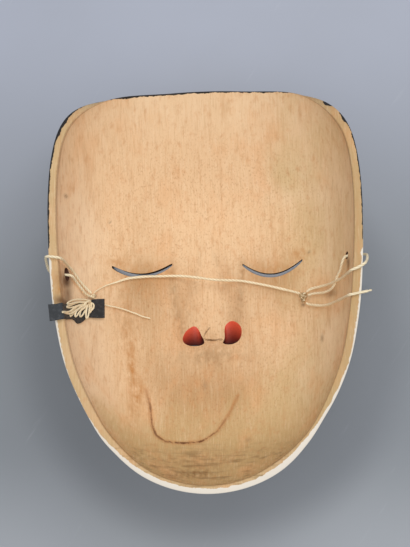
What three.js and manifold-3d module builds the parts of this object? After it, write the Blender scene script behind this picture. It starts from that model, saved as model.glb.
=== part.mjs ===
// A carved and painted wooden dance mask, lying face down with its hollow up, and the twine that ties it on.
// Millimetres. The mask has a frame of its own: x to the right, y to the forehead, and z up out of the
// rim plane, so the face and the hollow both lie below z = 0. One group lays it on its nose and forehead.

import * as THREE from 'three';
import { mergeVertices } from 'three/addons/utils/BufferGeometryUtils.js';
import Module from 'manifold-3d';

const wasm = await Module();
wasm.setup();

// Right half of the rim as [x, y], from the middle of the forehead to the chin.
const RIM_HALF = [
  [0, 101.7], [18, 101.1], [35, 99], [50, 94.6], [60.6, 87], [67.4, 75.5], [70.9, 59], [72.2, 38],
  [71.6, 13], [69.2, -12], [63.6, -36.5], [51.8, -61.5], [42.2, -73.8], [30.4, -83.8], [15.9, -90.1],
  [0, -92.3],
];
// Where the carver's hand left the rim fuller or flatter: angle and reach in degrees, then the gain.
const RIM_UNEVEN = [[126, 8, 1.8], [-52, 8, -1]];

// The bare edge is widest low at the sides. At the forehead the rim drops towards the front and the
// edge turns away until it is a saw cut square to y.
const EDGE_AT_SIDES = 4.6;
const EDGE_GAIN_LOW = 0.9;
const EDGE_LOSS_CHIN = 0.6;
const EDGE_TURNS = [38, 20];
const CROWN_STARTS = 52;
const CROWN_FULL = 8;
const FACE_DROP = 46;
const HOLLOW_DROP = 40;

// Depth of the plain shell below the rim plane, and how square its section is.
const FACE_DEPTH = 61.5;
const FACE_SQUARE = 3.1;
const HOLLOW_DEPTH = 53.5;
const HOLLOW_SQUARE = 3;

// Heights of the features along y, and the middle of each eye.
const FOREHEAD_Y = 48;
const BROW_Y = 31;
const EYE_Y = 17;
const NOSE_ROOT_Y = 25;
const NOSE_TIP_Y = -12;
const NOSE_BASE_Y = -22;
const MOUTH_Y = -39;
const CHIN_Y = -63;
const EYE_SPREAD = 31;
const EYE_LEAN = -1.6;
const HAIR_RAISE = 2.2;

// Cuts through the wood: two lash slits, two nostrils and two side bores for the twine.
const SLITS = [
  { x: -32.7, ends: 18.9, sag: 6.3, halfWidth: 14.3, width: 1.9 },
  { x: 29.4, ends: 19, sag: 7.2, halfWidth: 15.2, width: 1.8 },
];
const SLIT_STEPS = 10;
const SLIT_LEVEL_Z = -56;
const NOSTRIL = { x: 9.4, y: -14.7, halfWidth: 4.8, halfHeight: 6.3, lean: 0.85, taper: 0.25 };
const CUT_FROM_Z = -84;
const CUT_TO_Z = -30;
const BORES = [
  { x: -68, y: 10.8, z: -15.3, radius: 3.1 },
  { x: 68, y: 16.7, z: -18.3, radius: 1.8 },
];

// Rings of the two carved surfaces, and how far they crowd together at the rim.
const FACE_RINGS = 23;
const HOLLOW_RINGS = 14;
const RING_CROWD = 0.85;

// How the mask lies: its tilt, the place of its own origin, and the ground under its flat spots.
const LYING_TILT_DEGREES = 7.75;
const LYING_PLACE = [0, -1.66, 75.2];

// The twine, and the routes of its free lengths.
const TWINE = 1.2;
const THIN_TWINE = 0.7;
const TIE_ROUTE = [
  [-54.8, 3.9, -33.9], [-53.7, 5.3, -35.6], [-51.8, 6.9, -38.3], [-49.6, 8.3, -40.4], [-45.5, 10, -43.5],
  [-40, 12.1, -46.2], [-34.3, 13, -48.2], [-29.1, 13.4, -49.7], [-24.4, 13.5, -50.8],
  [-18.6, 13.6, -51.4], [-12.4, 13.4, -52.2], [-7.1, 12.9, -53.6], [-2.9, 12.4, -55.2],
  [1.9, 11.8, -55.9], [7.3, 11.3, -55.2], [14.1, 10.6, -53], [21.4, 9.1, -52], [28.6, 7.3, -50.7],
  [35.8, 5.2, -49], [39.6, 4, -47.6], [41.9, 3.1, -46], [42.8, 2.6, -45.3],
];
const LEFT_LOOP_ROUTE = [
  [-55.7, 3.7, -31.2], [-57.5, 5.4, -30], [-59.9, 8.2, -26.3], [-61.8, 11, -22.4], [-63.6, 13.7, -17.8],
  [-64.8, 15, -12], [-65.3, 15.6, -6], [-65.7, 15.9, -1.4], [-66.6, 16.2, 1.2], [-68.6, 16.6, 1.5],
  [-70.9, 16.9, 1.4], [-72.6, 17, 0.9], [-73.3, 16.4, -1.6], [-73.5, 15.4, -4.8], [-73.5, 14, -8.4],
  [-73.1, 12.3, -12], [-71.9, 11.1, -14.7], [-69.5, 10.9, -15.5], [-66.5, 10.7, -15.8],
  [-63.4, 10.3, -17.4], [-61.6, 8, -22], [-59.6, 5.2, -26], [-58.2, 3.3, -28.4], [-56.5, 2.2, -30.9],
];
const RIGHT_LOOP_ROUTE = [
  [46.1, 3.3, -42.8], [47.8, 4.2, -41.8], [49.7, 4.6, -40.4], [51.9, 4.8, -38.1], [54.5, 4.9, -34.5],
  [58.6, 5.2, -25.2], [61.6, 5.6, -16.6], [63.4, 6, -9.5], [64.8, 6.6, -2.6], [66.2, 7.2, 1.1],
  [68.3, 7.9, 1.5], [70.6, 9, 1.4], [72.4, 10.2, 0.9], [73.2, 11.5, -1.6], [73.7, 13, -4.8],
  [73.9, 14.8, -8.9], [73.6, 16.2, -13.5], [71.9, 16.8, -17.2], [69.8, 16.8, -18.2], [66.8, 16.7, -18.3],
  [63.9, 15.9, -18.1], [62.6, 13.4, -18.8], [61.7, 10.3, -21.8], [60.2, 7.4, -25.2], [58.5, 3.6, -27.6],
  [56.6, 2.2, -31.4], [53.9, 1.7, -35.6], [51.1, 1.9, -38.9], [48.7, 1.9, -41.2], [46.8, 1.6, -42.8],
];
const RIGHT_TAIL_ROUTE = [
  [45.7, -2.1, -43.6], [46.8, -2.8, -42.9], [48.4, -3.3, -41.5], [50.7, -3.9, -39], [53, -4.4, -36.1],
  [55.9, -4.6, -31], [58.6, -4.4, -23.6], [60.7, -4.4, -14.7], [62.4, -4.3, -8], [63.7, -4.3, -2.5],
  [65.2, -4.1, 1.1], [67.2, -3.8, 1.4], [69.2, -3.4, 1.4], [71.4, -3, 1.2], [73.4, -2.6, 0.8],
];
const LEFT_TAIL_ROUTE = [
  [-54.8, 1.5, -34.6], [-53.7, 0.7, -36.2], [-52.2, -0.1, -38], [-50.6, -0.8, -39.7],
  [-49.1, -1.2, -41.3], [-47.6, -1.4, -42.7], [-46, -1.6, -44], [-44.5, -1.9, -45.2],
  [-43.1, -2.2, -46.3], [-41.3, -2.7, -47.5], [-39.7, -3.2, -48.5], [-38.1, -3.8, -49.4],
  [-36.5, -4.3, -50.2], [-34.9, -5, -50.9], [-33.5, -5.6, -51.5], [-32.1, -6, -51.9],
  [-30.9, -6.3, -52.3], [-29.5, -6.6, -52.6],
];

// The knots as lumps, and the strip and wad as bands laid on the wall of the hollow.
const LEFT_KNOT = { x: -56.7, y: 2.2, lift: 1.95, radii: [1.6, 1.4, 1.7] };
const RIGHT_KNOT = { x: 45.5, y: 1.1, lift: 1.95, radii: [1.9, 2.7, 1.4] };
const STRIP_THICKNESS = 1;
const STRIP_LIFT = 0.6;
const STRIP_STEPS = 9;
const WAD_THICKNESS = 3.2;

const { clamp, degToRad, lerp, radToDeg } = THREE.MathUtils;

// A soft step from 0 at `from` to 1 at `to`, in either direction.
function rise(value, from, to) {
  const t = clamp((value - from) / (to - from), 0, 1);
  return t * t * (3 - 2 * t);
}

// A rounded rise, or with a negative height a rounded dip.
function bump(x, y, centreX, centreY, reachX, reachY, height) {
  return height * Math.exp(-(((x - centreX) / reachX) ** 2) - ((y - centreY) / reachY) ** 2);
}

function bell(value, reach, power = 2) {
  return Math.exp(-((Math.abs(value) / reach) ** power));
}

function makeRimTable() {
  const left = RIM_HALF.slice(1, -1).reverse().map(([x, y]) => [-x, y]);
  const loop = [...RIM_HALF, ...left].map(([x, y]) => new THREE.Vector3(x, y, 0));
  const curve = new THREE.CatmullRomCurve3(loop, true, 'catmullrom', 0.5);
  return curve
    .getPoints(loop.length * 24)
    .map((point) => ({ angle: Math.atan2(point.y, point.x), radius: Math.hypot(point.x, point.y) }))
    .sort((a, b) => a.angle - b.angle);
}

const rimTable = makeRimTable();

function rimRadius(angle) {
  const turned = Math.atan2(Math.sin(angle), Math.cos(angle));
  const next = Math.max(rimTable.findIndex((entry) => entry.angle >= turned), 0);
  const after = rimTable[next];
  const before = rimTable[(next + rimTable.length - 1) % rimTable.length];
  const gap = after.angle - before.angle;
  const share = gap > 0 ? (turned - before.angle) / gap : 0;
  const even = lerp(before.radius, after.radius, share);
  return RIM_UNEVEN.reduce((radius, [middle, reach, gain]) => {
    return radius + gain * bell(radToDeg(turned) - middle, reach);
  }, even);
}

function degreesFromTop(angle) {
  return radToDeg(Math.abs(Math.atan2(Math.sin(angle - Math.PI / 2), Math.cos(angle - Math.PI / 2))));
}

function crown(angle) {
  return rise(degreesFromTop(angle), CROWN_STARTS, CROWN_FULL);
}

function edgeWidth(angle) {
  const height = Math.sin(angle);
  const atChin = EDGE_LOSS_CHIN * rise(-height, 0.8, 0.98);
  const lowDown = EDGE_GAIN_LOW * bell(height + 0.6, 0.3);
  return (EDGE_AT_SIDES - atChin + lowDown) * rise(degreesFromTop(angle), EDGE_TURNS[1], EDGE_TURNS[0]);
}

function hollowRadius(angle) {
  return rimRadius(angle) - edgeWidth(angle);
}

// The plain bowl: it meets the sides of the rim square on and slopes gently to the dropped top.
function bowlDepth(share, angle, depth, drop, square) {
  const top = crown(angle);
  const section = Math.max(0, 1 - share ** square) ** (0.5 + 0.5 * top);
  return drop * top + (depth - drop * top) * section;
}

function fadeAtRim(share, angle) {
  return lerp(rise(share, 1, 0.83), 1, crown(angle));
}

function nose(x, y) {
  const down = rise(y, NOSE_ROOT_Y, NOSE_TIP_Y);
  const under = rise(y, NOSE_BASE_Y, NOSE_TIP_Y - 2.5);
  const fromBrow = rise(y, BROW_Y + 6, NOSE_ROOT_Y - 2);
  const ridge = (2.2 + 9.8 * down ** 1.3) * bell(x, 5.5 + 3.5 * down, 2.4) * fromBrow;
  const base = 3.8 * down * bell(x, 16, 3);
  const wings = bump(Math.abs(x), y, 11.5, NOSE_TIP_Y - 2.5, 5.5, 6.5, 6);
  return (ridge + base) * under + wings * rise(y, NOSE_BASE_Y - 1, NOSE_BASE_Y + 6);
}

function eyes(x, y) {
  const side = Math.abs(x - EYE_LEAN) - EYE_SPREAD;
  const socket = bump(side, y, 0, EYE_Y - 1, 21, 12, -6) + bump(side, y, -20, EYE_Y + 1, 6, 9, -1.5);
  const lid = bump(side, y, 0, EYE_Y + 0.5, 15, 8.5, 6);
  const brow = bump(side, y, -2, BROW_Y, 22, 6, 2.2);
  const lash = EYE_Y + 2 - 6.8 * (1 - (side / 14.8) ** 2);
  const below = lash - y;
  const lidEdge = -1.4 * rise(15.5 - Math.abs(side), 0, 5) * rise(below, -0.6, 0.6) * rise(below, 7, 0.6);
  return socket + lid + brow + lidEdge;
}

function mouth(x, y) {
  const span = rise(19.5 - Math.abs(x), 0, 9);
  const parting = MOUTH_Y + 1.8 * (x / 19) ** 2 - bell(x, 4.5);
  const muzzle = bump(x, y, 0, MOUTH_Y + 1, 26, 16, 4.5);
  const upperLip = 2.8 * span * bell(y - parting - 2.6, 2.6);
  const lowerLip = 3.6 * rise(16 - Math.abs(x), 0, 9) * bell(y - parting + 4, 3.4);
  const line = -1.6 * span * bell(y - parting, 0.9);
  const crease = bump(x, y, 0, MOUTH_Y - 11, 11, 3.2, -2.2);
  const groove = rise(y, MOUTH_Y + 5, MOUTH_Y + 8) * rise(y, MOUTH_Y + 17, MOUTH_Y + 13);
  return muzzle + upperLip + lowerLip + line + crease - 1.1 * bell(x, 2.2) * groove;
}

function hairline(x) {
  return 66 - 3.5 * bell(x, 7) - 30 * Math.abs(x / 72) ** 3;
}

function faceDepth(x, y, share, angle) {
  const side = Math.abs(x);
  const forehead = bump(x, y, 0, FOREHEAD_Y, 62, 30, 8.6) + bump(side, y, 28, FOREHEAD_Y - 1, 15, 15, 4.2);
  const cheeks = bump(side, y, 38, -10, 18, 18, 4) + bump(side, y, 36, -44, 14, 16, -2.5);
  const temples = bump(side, y, 60, 22, 12, 20, -2);
  const chin = bump(x, y, 0, CHIN_Y, 15, 11, 7);
  const hair = HAIR_RAISE * rise(y - hairline(x), -0.8, 1.6);
  const features = forehead + cheeks + temples + chin + hair + nose(x, y) + eyes(x, y) + mouth(x, y);
  const bowl = bowlDepth(share, angle, FACE_DEPTH, FACE_DROP, FACE_SQUARE);
  return bowl + features * fadeAtRim(share, angle);
}

function hollowDepth(x, y, share, angle) {
  const side = Math.abs(x);
  const forehead = bump(x, y, 0, FOREHEAD_Y - 1, 58, 30, 10);
  const cheeks = bump(side, y, 36, -14, 20, 20, 3);
  const sockets = bump(side, y, EYE_SPREAD, EYE_Y, 20, 12, -3.5);
  const chin = bump(x, y, 0, -52, 34, 26, 6);
  const along = rise(y, 42, -8) * rise(y, -25, -14);
  const trough = 8 * along * bell(x, 6 + 10 * rise(y, 34, -12), 3);
  const features = forehead + cheeks + sockets + chin + trough;
  const bowl = bowlDepth(share, angle, HOLLOW_DEPTH, HOLLOW_DROP, HOLLOW_SQUARE);
  return bowl + features * fadeAtRim(share, angle);
}

// A point on the wood inside the hollow, raised off it by a lift along the surface's own normal.
function onWall(x, y, lift) {
  const depthAt = (px, py) => {
    const angle = Math.atan2(py, px);
    return hollowDepth(px, py, Math.min(1, Math.hypot(px, py) / hollowRadius(angle)), angle);
  };
  const reach = 0.3;
  const slopeX = (depthAt(x + reach, y) - depthAt(x - reach, y)) / (2 * reach);
  const slopeY = (depthAt(x, y + reach) - depthAt(x, y - reach)) / (2 * reach);
  const normal = new THREE.Vector3(slopeX, slopeY, 1).normalize();
  return new THREE.Vector3(x, y, -depthAt(x, y)).addScaledVector(normal, lift);
}

// The angle of a place on a square grid, so that each square ring becomes an even round one.
function squareAngle(column, row) {
  if (column === 0 && row === 0) return 0;
  if (Math.abs(column) >= Math.abs(row)) {
    return (Math.PI / 4) * (row / column) + (column < 0 ? Math.PI : 0);
  }
  return Math.PI / 2 - (Math.PI / 4) * (column / row) + (row < 0 ? Math.PI : 0);
}

// One carved surface as a grid of rings. Its border runs once round the rim, from the lower left corner.
function carvedSurface(rings, radiusAt, depthAt, firstIndex) {
  const places = [];
  const faces = [];
  const width = 2 * rings + 1;
  for (let row = -rings; row <= rings; row += 1) {
    for (let column = -rings; column <= rings; column += 1) {
      const even = Math.max(Math.abs(row), Math.abs(column)) / rings;
      const share = even + RING_CROWD * even * even * (1 - even);
      const angle = squareAngle(column, row);
      const radius = share * radiusAt(angle);
      const [x, y] = [radius * Math.cos(angle), radius * Math.sin(angle)];
      places.push([x, y, -depthAt(x, y, share, angle)]);
    }
  }
  for (let row = 0; row < width - 1; row += 1) {
    for (let column = 0; column < width - 1; column += 1) {
      const a = firstIndex + row * width + column;
      const [b, c, d] = [a + 1, a + width + 1, a + width];
      const sameSigns = (row < rings) === (column < rings);
      if (sameSigns) faces.push([a, c, b], [a, d, c]);
      else faces.push([a, d, b], [b, d, c]);
    }
  }
  const last = width - 1;
  const border = [];
  for (let step = 0; step < last; step += 1) border.push(step);
  for (let step = 0; step < last; step += 1) border.push(step * width + last);
  for (let step = 0; step < last; step += 1) border.push(last * width + last - step);
  for (let step = 0; step < last; step += 1) border.push((last - step) * width);
  return { places, faces, border: border.map((index) => index + firstIndex) };
}

// The rim: a band between the two borders, which start at the same angle and run the same way round.
function rimBand(outer, inner) {
  const faces = [];
  let [o, i] = [0, 0];
  while (o < outer.length || i < inner.length) {
    const [a, b] = [outer[o % outer.length], inner[i % inner.length]];
    const outerIsBehind = (o + 1) / outer.length <= (i + 1) / inner.length;
    if (outerIsBehind) {
      faces.push([a, outer[(o + 1) % outer.length], b]);
      o += 1;
    } else {
      faces.push([a, inner[(i + 1) % inner.length], b]);
      i += 1;
    }
  }
  return faces;
}

function makeBlank() {
  const face = carvedSurface(FACE_RINGS, rimRadius, faceDepth, 0);
  const hollow = carvedSurface(HOLLOW_RINGS, hollowRadius, hollowDepth, face.places.length);
  const hollowFaces = hollow.faces.map(([a, b, c]) => [a, c, b]);
  const band = rimBand(face.border, hollow.border);
  return solidOf([...face.places, ...hollow.places].flat(), [...face.faces, ...hollowFaces, ...band].flat());
}

function solidOf(places, faces) {
  return new wasm.Manifold(new wasm.Mesh({
    numProp: 3,
    vertProperties: new Float32Array(places),
    triVerts: new Uint32Array(faces),
  }));
}

function solidFrom(geometry) {
  const bare = geometry.clone();
  bare.deleteAttribute('normal');
  bare.deleteAttribute('uv');
  const merged = mergeVertices(bare, 1e-4);
  return solidOf(merged.attributes.position.array, merged.index.array);
}

function geometryOf(solid) {
  const { vertProperties, triVerts } = solid.getMesh();
  const geometry = new THREE.BufferGeometry();
  geometry.setAttribute('position', new THREE.BufferAttribute(vertProperties, 3));
  geometry.setIndex(new THREE.BufferAttribute(triVerts, 1));
  return geometry;
}

function extrudeBetween(outline, lowZ, highZ) {
  const options = { depth: highZ - lowZ, bevelEnabled: false };
  return new THREE.ExtrudeGeometry(new THREE.Shape(outline), options).translate(0, 0, lowZ);
}

// The gap under a lowered lid: a U-shaped slit that sags towards the chin. It is cut upright as the mask
// lies, so in the mask's own frame it leans to the forehead as it goes through.
function slitCutter({ x, ends, sag, halfWidth, width }) {
  const edge = (offset) => Array.from({ length: SLIT_STEPS + 1 }, (_, step) => {
    const t = (2 * step) / SLIT_STEPS - 1;
    const thin = offset * (1 - 0.6 * t ** 4);
    return new THREE.Vector2(x + t * halfWidth, ends - sag * (1 - t * t) + thin);
  });
  const outline = [...edge(-width / 2), ...edge(width / 2).reverse()];
  const geometry = extrudeBetween(outline, CUT_FROM_Z, CUT_TO_Z);
  const position = geometry.attributes.position;
  const lean = Math.tan(degToRad(LYING_TILT_DEGREES));
  for (let index = 0; index < position.count; index += 1) {
    position.setY(index, position.getY(index) + lean * (SLIT_LEVEL_Z - position.getZ(index)));
  }
  return solidFrom(geometry);
}

// A nostril is wide in the hollow and leans to the chin as it goes out through the base of the nose.
function nostrilCutter(side) {
  const { halfWidth, halfHeight, lean, taper } = NOSTRIL;
  const outline = Array.from({ length: 12 }, (_, step) => {
    const turn = (step / 12) * Math.PI * 2;
    const narrow = 1 - 0.28 * Math.max(0, Math.sin(turn));
    return new THREE.Vector2(halfWidth * narrow * Math.cos(turn), halfHeight * Math.sin(turn));
  });
  const levelZ = -60;
  const geometry = extrudeBetween(outline, CUT_FROM_Z, levelZ + 12);
  const position = geometry.attributes.position;
  for (let index = 0; index < position.count; index += 1) {
    const z = position.getZ(index);
    const scale = z < levelZ ? 1 - taper : 1 + taper / 2;
    const x = side * NOSTRIL.x + position.getX(index) * scale;
    position.setXY(index, x, NOSTRIL.y + position.getY(index) * scale + lean * (z - levelZ));
  }
  return solidFrom(geometry);
}

function boreCutter({ x, y, z, radius }) {
  const drill = new THREE.CylinderGeometry(radius, radius, 14, 12);
  return solidFrom(drill.rotateZ(Math.PI / 2).translate(x, y, z));
}

// The ground as a block, seen from the mask's own frame: it cuts the flat spots the mask rests on.
function groundCutter(lying) {
  const block = new THREE.BoxGeometry(300, 300, 40).translate(0, 0, -20);
  return solidFrom(block.applyMatrix4(lying.matrixWorld.clone().invert()));
}

function carvedShell(lying) {
  const cutters = [...SLITS.map(slitCutter), nostrilCutter(-1), nostrilCutter(1), ...BORES.map(boreCutter)];
  cutters.push(groundCutter(lying));
  return geometryOf(cutters.reduce((wood, cutter) => wood.subtract(cutter), makeBlank()));
}

function twineAlong(route, diameter, stepLength) {
  const places = route.map((place) => new THREE.Vector3(...place));
  const curve = new THREE.CatmullRomCurve3(places, false, 'centripetal');
  const sides = 8;
  const section = Array.from({ length: sides }, (_, side) => {
    const turn = (side / sides) * Math.PI * 2;
    return new THREE.Vector2((diameter / 2) * Math.cos(turn), (diameter / 2) * Math.sin(turn));
  });
  const steps = Math.round(curve.getLength() / stepLength);
  return new THREE.ExtrudeGeometry(new THREE.Shape(section), { steps, extrudePath: curve });
}

function knotLump({ x, y, lift, radii }) {
  return new THREE.IcosahedronGeometry(1, 1).scale(...radii).translate(...onWall(x, y, lift));
}

// A band through rings of points, each ring walked the same way round, closed at both ends.
function bandThrough(rings) {
  const size = rings[0].length;
  const places = rings.flat().flatMap((point) => [point.x, point.y, point.z]);
  const faces = [];
  for (let ring = 0; ring < rings.length - 1; ring += 1) {
    for (let step = 0; step < size; step += 1) {
      const a = ring * size + step;
      const b = ring * size + ((step + 1) % size);
      faces.push(a, b, b + size, a, b + size, a + size);
    }
  }
  const lastRing = (rings.length - 1) * size;
  for (let step = 1; step < size - 1; step += 1) {
    faces.push(0, step + 1, step, lastRing, lastRing + step, lastRing + step + 1);
  }
  const geometry = new THREE.BufferGeometry();
  geometry.setAttribute('position', new THREE.Float32BufferAttribute(places, 3));
  geometry.setIndex(faces);
  return geometry;
}

// The strip lies out over the edge and down the wall, pinched where the wad ties it. It follows the
// slant of the rim there, and past the wad it stands off the wall, with the thin end of twine under it.
function stripGeometry() {
  const slant = (y) => -0.153 * (y + 8.4);
  const overEdge = [
    [-71.6, 0.4, -71.6, 0.4 + STRIP_THICKNESS],
    [-66.2, 0.4, -66.2, 0.4 + STRIP_THICKNESS],
    [-64.6, 0.2, -63.9, 0.9],
  ];
  const rings = overEdge.map(([lowX, lowZ, highX, highZ]) => {
    const [front, back] = [-12.4, -4.4];
    return [[lowX, front, lowZ], [lowX, back, lowZ], [highX, back, highZ], [highX, front, highZ]]
      .map(([x, y, z]) => new THREE.Vector3(x + slant(y), y, z));
  });
  for (let step = 0; step <= STRIP_STEPS; step += 1) {
    const t = step / STRIP_STEPS;
    const half = 4.4 - 2 * bell(t - 0.42, 0.2);
    const middle = lerp(-8, -2.6, t);
    const lift = STRIP_LIFT + 1.2 * rise(t, 0.48, 0.7);
    const ring = [[-half, 0], [half, 0], [half, STRIP_THICKNESS], [-half, STRIP_THICKNESS]];
    rings.push(ring.map(([across, top]) => {
      const y = middle + across;
      return onWall(lerp(-63.9, -50.9, t) + (1 - t) * slant(y), y, lift + top);
    }));
  }
  return bandThrough(rings);
}

// The wad of looped string sits on the strip as one long low lump.
function wadGeometry() {
  const rings = [];
  for (let step = 0; step <= 6; step += 1) {
    const t = step / 6;
    const swell = Math.sin(Math.PI * lerp(0.12, 0.88, t));
    const x = lerp(-63.4, -56.6, t);
    const middle = lerp(-6.6, -3.4, t);
    const half = 4 * swell;
    const low = STRIP_LIFT + STRIP_THICKNESS + 0.95;
    const high = low + WAD_THICKNESS * swell;
    const ring = [[-half * 0.6, low], [half * 0.6, low], [half, (low + high) / 2], [half * 0.5, high],
      [-half * 0.5, high], [-half, (low + high) / 2]];
    rings.push(ring.map(([y, lift]) => onWall(x, middle + y, lift)));
  }
  return bandThrough(rings);
}

const wood = new THREE.MeshStandardMaterial({ color: '#dcb48a', roughness: 0.65, metalness: 0 });
const twine = new THREE.MeshStandardMaterial({ color: '#ecd2a6', roughness: 0.9, metalness: 0 });
const rubber = new THREE.MeshStandardMaterial({ color: '#3c3c3a', roughness: 0.7, metalness: 0 });

const mask = new THREE.Group();
mask.rotation.x = -degToRad(LYING_TILT_DEGREES);
mask.position.set(...LYING_PLACE);
mask.updateMatrixWorld();

function addPiece(name, geometry, material) {
  const piece = new THREE.Mesh(geometry, material);
  piece.name = name;
  mask.add(piece);
}

addPiece('mask_shell', carvedShell(mask), wood);
addPiece('tie_cord', twineAlong(TIE_ROUTE, TWINE, 3.6), twine);
addPiece('left_loop', twineAlong(LEFT_LOOP_ROUTE, TWINE, 2.6), twine);
addPiece('right_loop', twineAlong(RIGHT_LOOP_ROUTE, TWINE, 2.8), twine);
addPiece('right_tail', twineAlong(RIGHT_TAIL_ROUTE, TWINE, 2.4), twine);
addPiece('left_tail', twineAlong(LEFT_TAIL_ROUTE, THIN_TWINE, 2), twine);
addPiece('left_knot', knotLump(LEFT_KNOT), twine);
addPiece('right_knot', knotLump(RIGHT_KNOT), twine);
addPiece('string_wad', wadGeometry(), twine);
addPiece('black_strip', stripGeometry(), rubber);

const part = new THREE.Group();
part.add(mask);

export default part;
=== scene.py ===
"""A carved and painted wooden dance mask, lying face down, seen from straight above.

The mask has a frame of its own, as in the part's source: x to the right, y to the forehead and z up out
of the rim plane. The carving is worked out there in millimetres, and laid in the row frame in metres.
"""

import math

import bpy
import numpy as np
from mathutils import Matrix, Vector


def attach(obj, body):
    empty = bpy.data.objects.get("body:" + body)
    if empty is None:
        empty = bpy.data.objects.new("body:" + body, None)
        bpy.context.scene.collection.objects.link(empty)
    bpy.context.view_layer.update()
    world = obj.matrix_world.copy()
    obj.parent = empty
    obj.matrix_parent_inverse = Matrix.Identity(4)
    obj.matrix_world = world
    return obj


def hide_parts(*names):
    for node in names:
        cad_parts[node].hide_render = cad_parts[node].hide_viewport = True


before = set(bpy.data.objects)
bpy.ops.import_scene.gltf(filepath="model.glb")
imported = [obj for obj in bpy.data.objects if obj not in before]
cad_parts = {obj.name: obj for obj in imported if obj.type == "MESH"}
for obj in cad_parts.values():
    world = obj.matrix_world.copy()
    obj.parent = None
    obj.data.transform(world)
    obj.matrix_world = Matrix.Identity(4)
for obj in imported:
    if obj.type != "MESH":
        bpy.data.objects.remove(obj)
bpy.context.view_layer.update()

MM = 0.001

# How the mask lies, as in the part's source.
LYING_TILT = math.radians(7.75)
LYING_PLACE = Vector((0, -0.00166, 0.0752))
LAID = Matrix.Translation(LYING_PLACE) @ Matrix.Rotation(-LYING_TILT, 4, "X")

# The photograph's camera: straight above, a little from the right and turned a little.
CAMERA_DISTANCE = 0.85
CAMERA_LEAN = math.radians(2.6)
CAMERA_ROLL = math.radians(1.5)
CAMERA_TARGET = (-0.0003, 0.0074, 0)
FOCAL_PIXELS = 1868
FRAME_HEIGHT_PIXELS = 547
SENSOR = 36

# Right half of the rim, from the middle of the forehead to the chin. Below it, each uneven spot of the
# rim, of its bare edge and of the black paint on it is a direction in degrees, a reach and a gain.
RIM_HALF = (
    (0, 101.7), (18, 101.1), (35, 99), (50, 94.6), (60.6, 87), (67.4, 75.5), (70.9, 59), (72.2, 38),
    (71.6, 13), (69.2, -12), (63.6, -36.5), (51.8, -61.5), (42.2, -73.8), (30.4, -83.8), (15.9, -90.1),
    (0, -92.3),
)
RIM_UNEVEN = ((126, 8, 1.8), (-52, 8, -1))
EDGE_AT_SIDES = 4.4
EDGE_LOSS_LOW = 0.3
EDGE_LOSS_CHIN = 0.6
EDGE_UNEVEN = ((-52, 10, -1.2), (-70, 9, 0.9))
EDGE_TURNS = (20, 38)
BLACK_PATCHES = ((129, 4, 0.9), (57, 1.3, 1.6), (50.5, 1.2, 1.4))
CROWN_STARTS = 52
CROWN_FULL = 8
FACE_DROP = 46
HOLLOW_DROP = 40
FACE_DEPTH = 61.5
FACE_SQUARE = 3.1
HOLLOW_DEPTH = 53.5
HOLLOW_SQUARE = 3
TROUGH_EDGE = 4.2

# Heights of the features along y, and the middle of each eye.
FOREHEAD_Y = 48
BROW_Y = 31
EYE_Y = 17
NOSE_ROOT_Y = 25
NOSE_TIP_Y = -12
NOSE_BASE_Y = -22
MOUTH_Y = -39
CHIN_Y = -63
EYE_SPREAD = 31
EYE_LEAN = -1.6
HAIR_RAISE = 2.2
LOCK_SPACING = 5

# Cuts through the wood. Both the slits and the nostrils lean to the chin as they go out, the slits little.
SLITS = (
    {"x": -32.8, "ends": 19.3, "sag": 4.8, "half_width": 14.2, "width": 2},
    {"x": 29.9, "ends": 19.3, "sag": 6.3, "half_width": 14.5, "width": 1.9},
)
SLIT_RISE = 0.5
SLIT_LEVEL_Z = -56
SLIT_LEAN = 0.05
NOSTRIL_LEVEL_Z = -60
NOSTRIL_LEAN = 1.65
NOSTRIL_Y = -15.5
NOSTRIL_SIZE = 1.06
NOSTRIL_SHARE_OUTSIDE = 0.56
NOSTRIL_SHARE_INSIDE = 1.16
NOSTRIL_OUTLINES = (
    (-9.4, (
        (1, 9.8), (-1.9, 7), (-4.2, 2.6), (-5.2, -2.4), (-4.5, -6.6), (-1, -8.5), (3, -7.8),
        (5.3, -5), (5.4, -1.2), (4.6, 3), (3.3, 6.8),
    )),
    (9.4, (
        (-1, 9.4), (-3.7, 8.6), (-3.7, 4.4), (-3.5, 0), (-4.7, -3.8), (-3.7, -6.7), (-0.9, -8.3),
        (2.4, -7.8), (4.5, -5), (4.8, -1.2), (3.3, 3), (1.2, 7.2),
    )),
)
BORES = ((-68, 10.8, -15.3, 3.1), (68, 16.7, -18.3, 1.8))
BORE_LENGTH = 14

# Heights between which the solids stand that cut the slits and the nostrils.
CUT_FROM_Z = -84
SLIT_CUT_TO_Z = -30
NOSTRIL_CUT_TO_Z = -48

# Rings from the middle of each carved surface to the rim, how far they crowd together there, the width of
# the worn corner between a surface and the rim, and the gap that is closed where the surfaces are joined.
RINGS = 104
RING_CROWD = 0.78
ARRIS = 0.4
SEAM = 0.02

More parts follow.
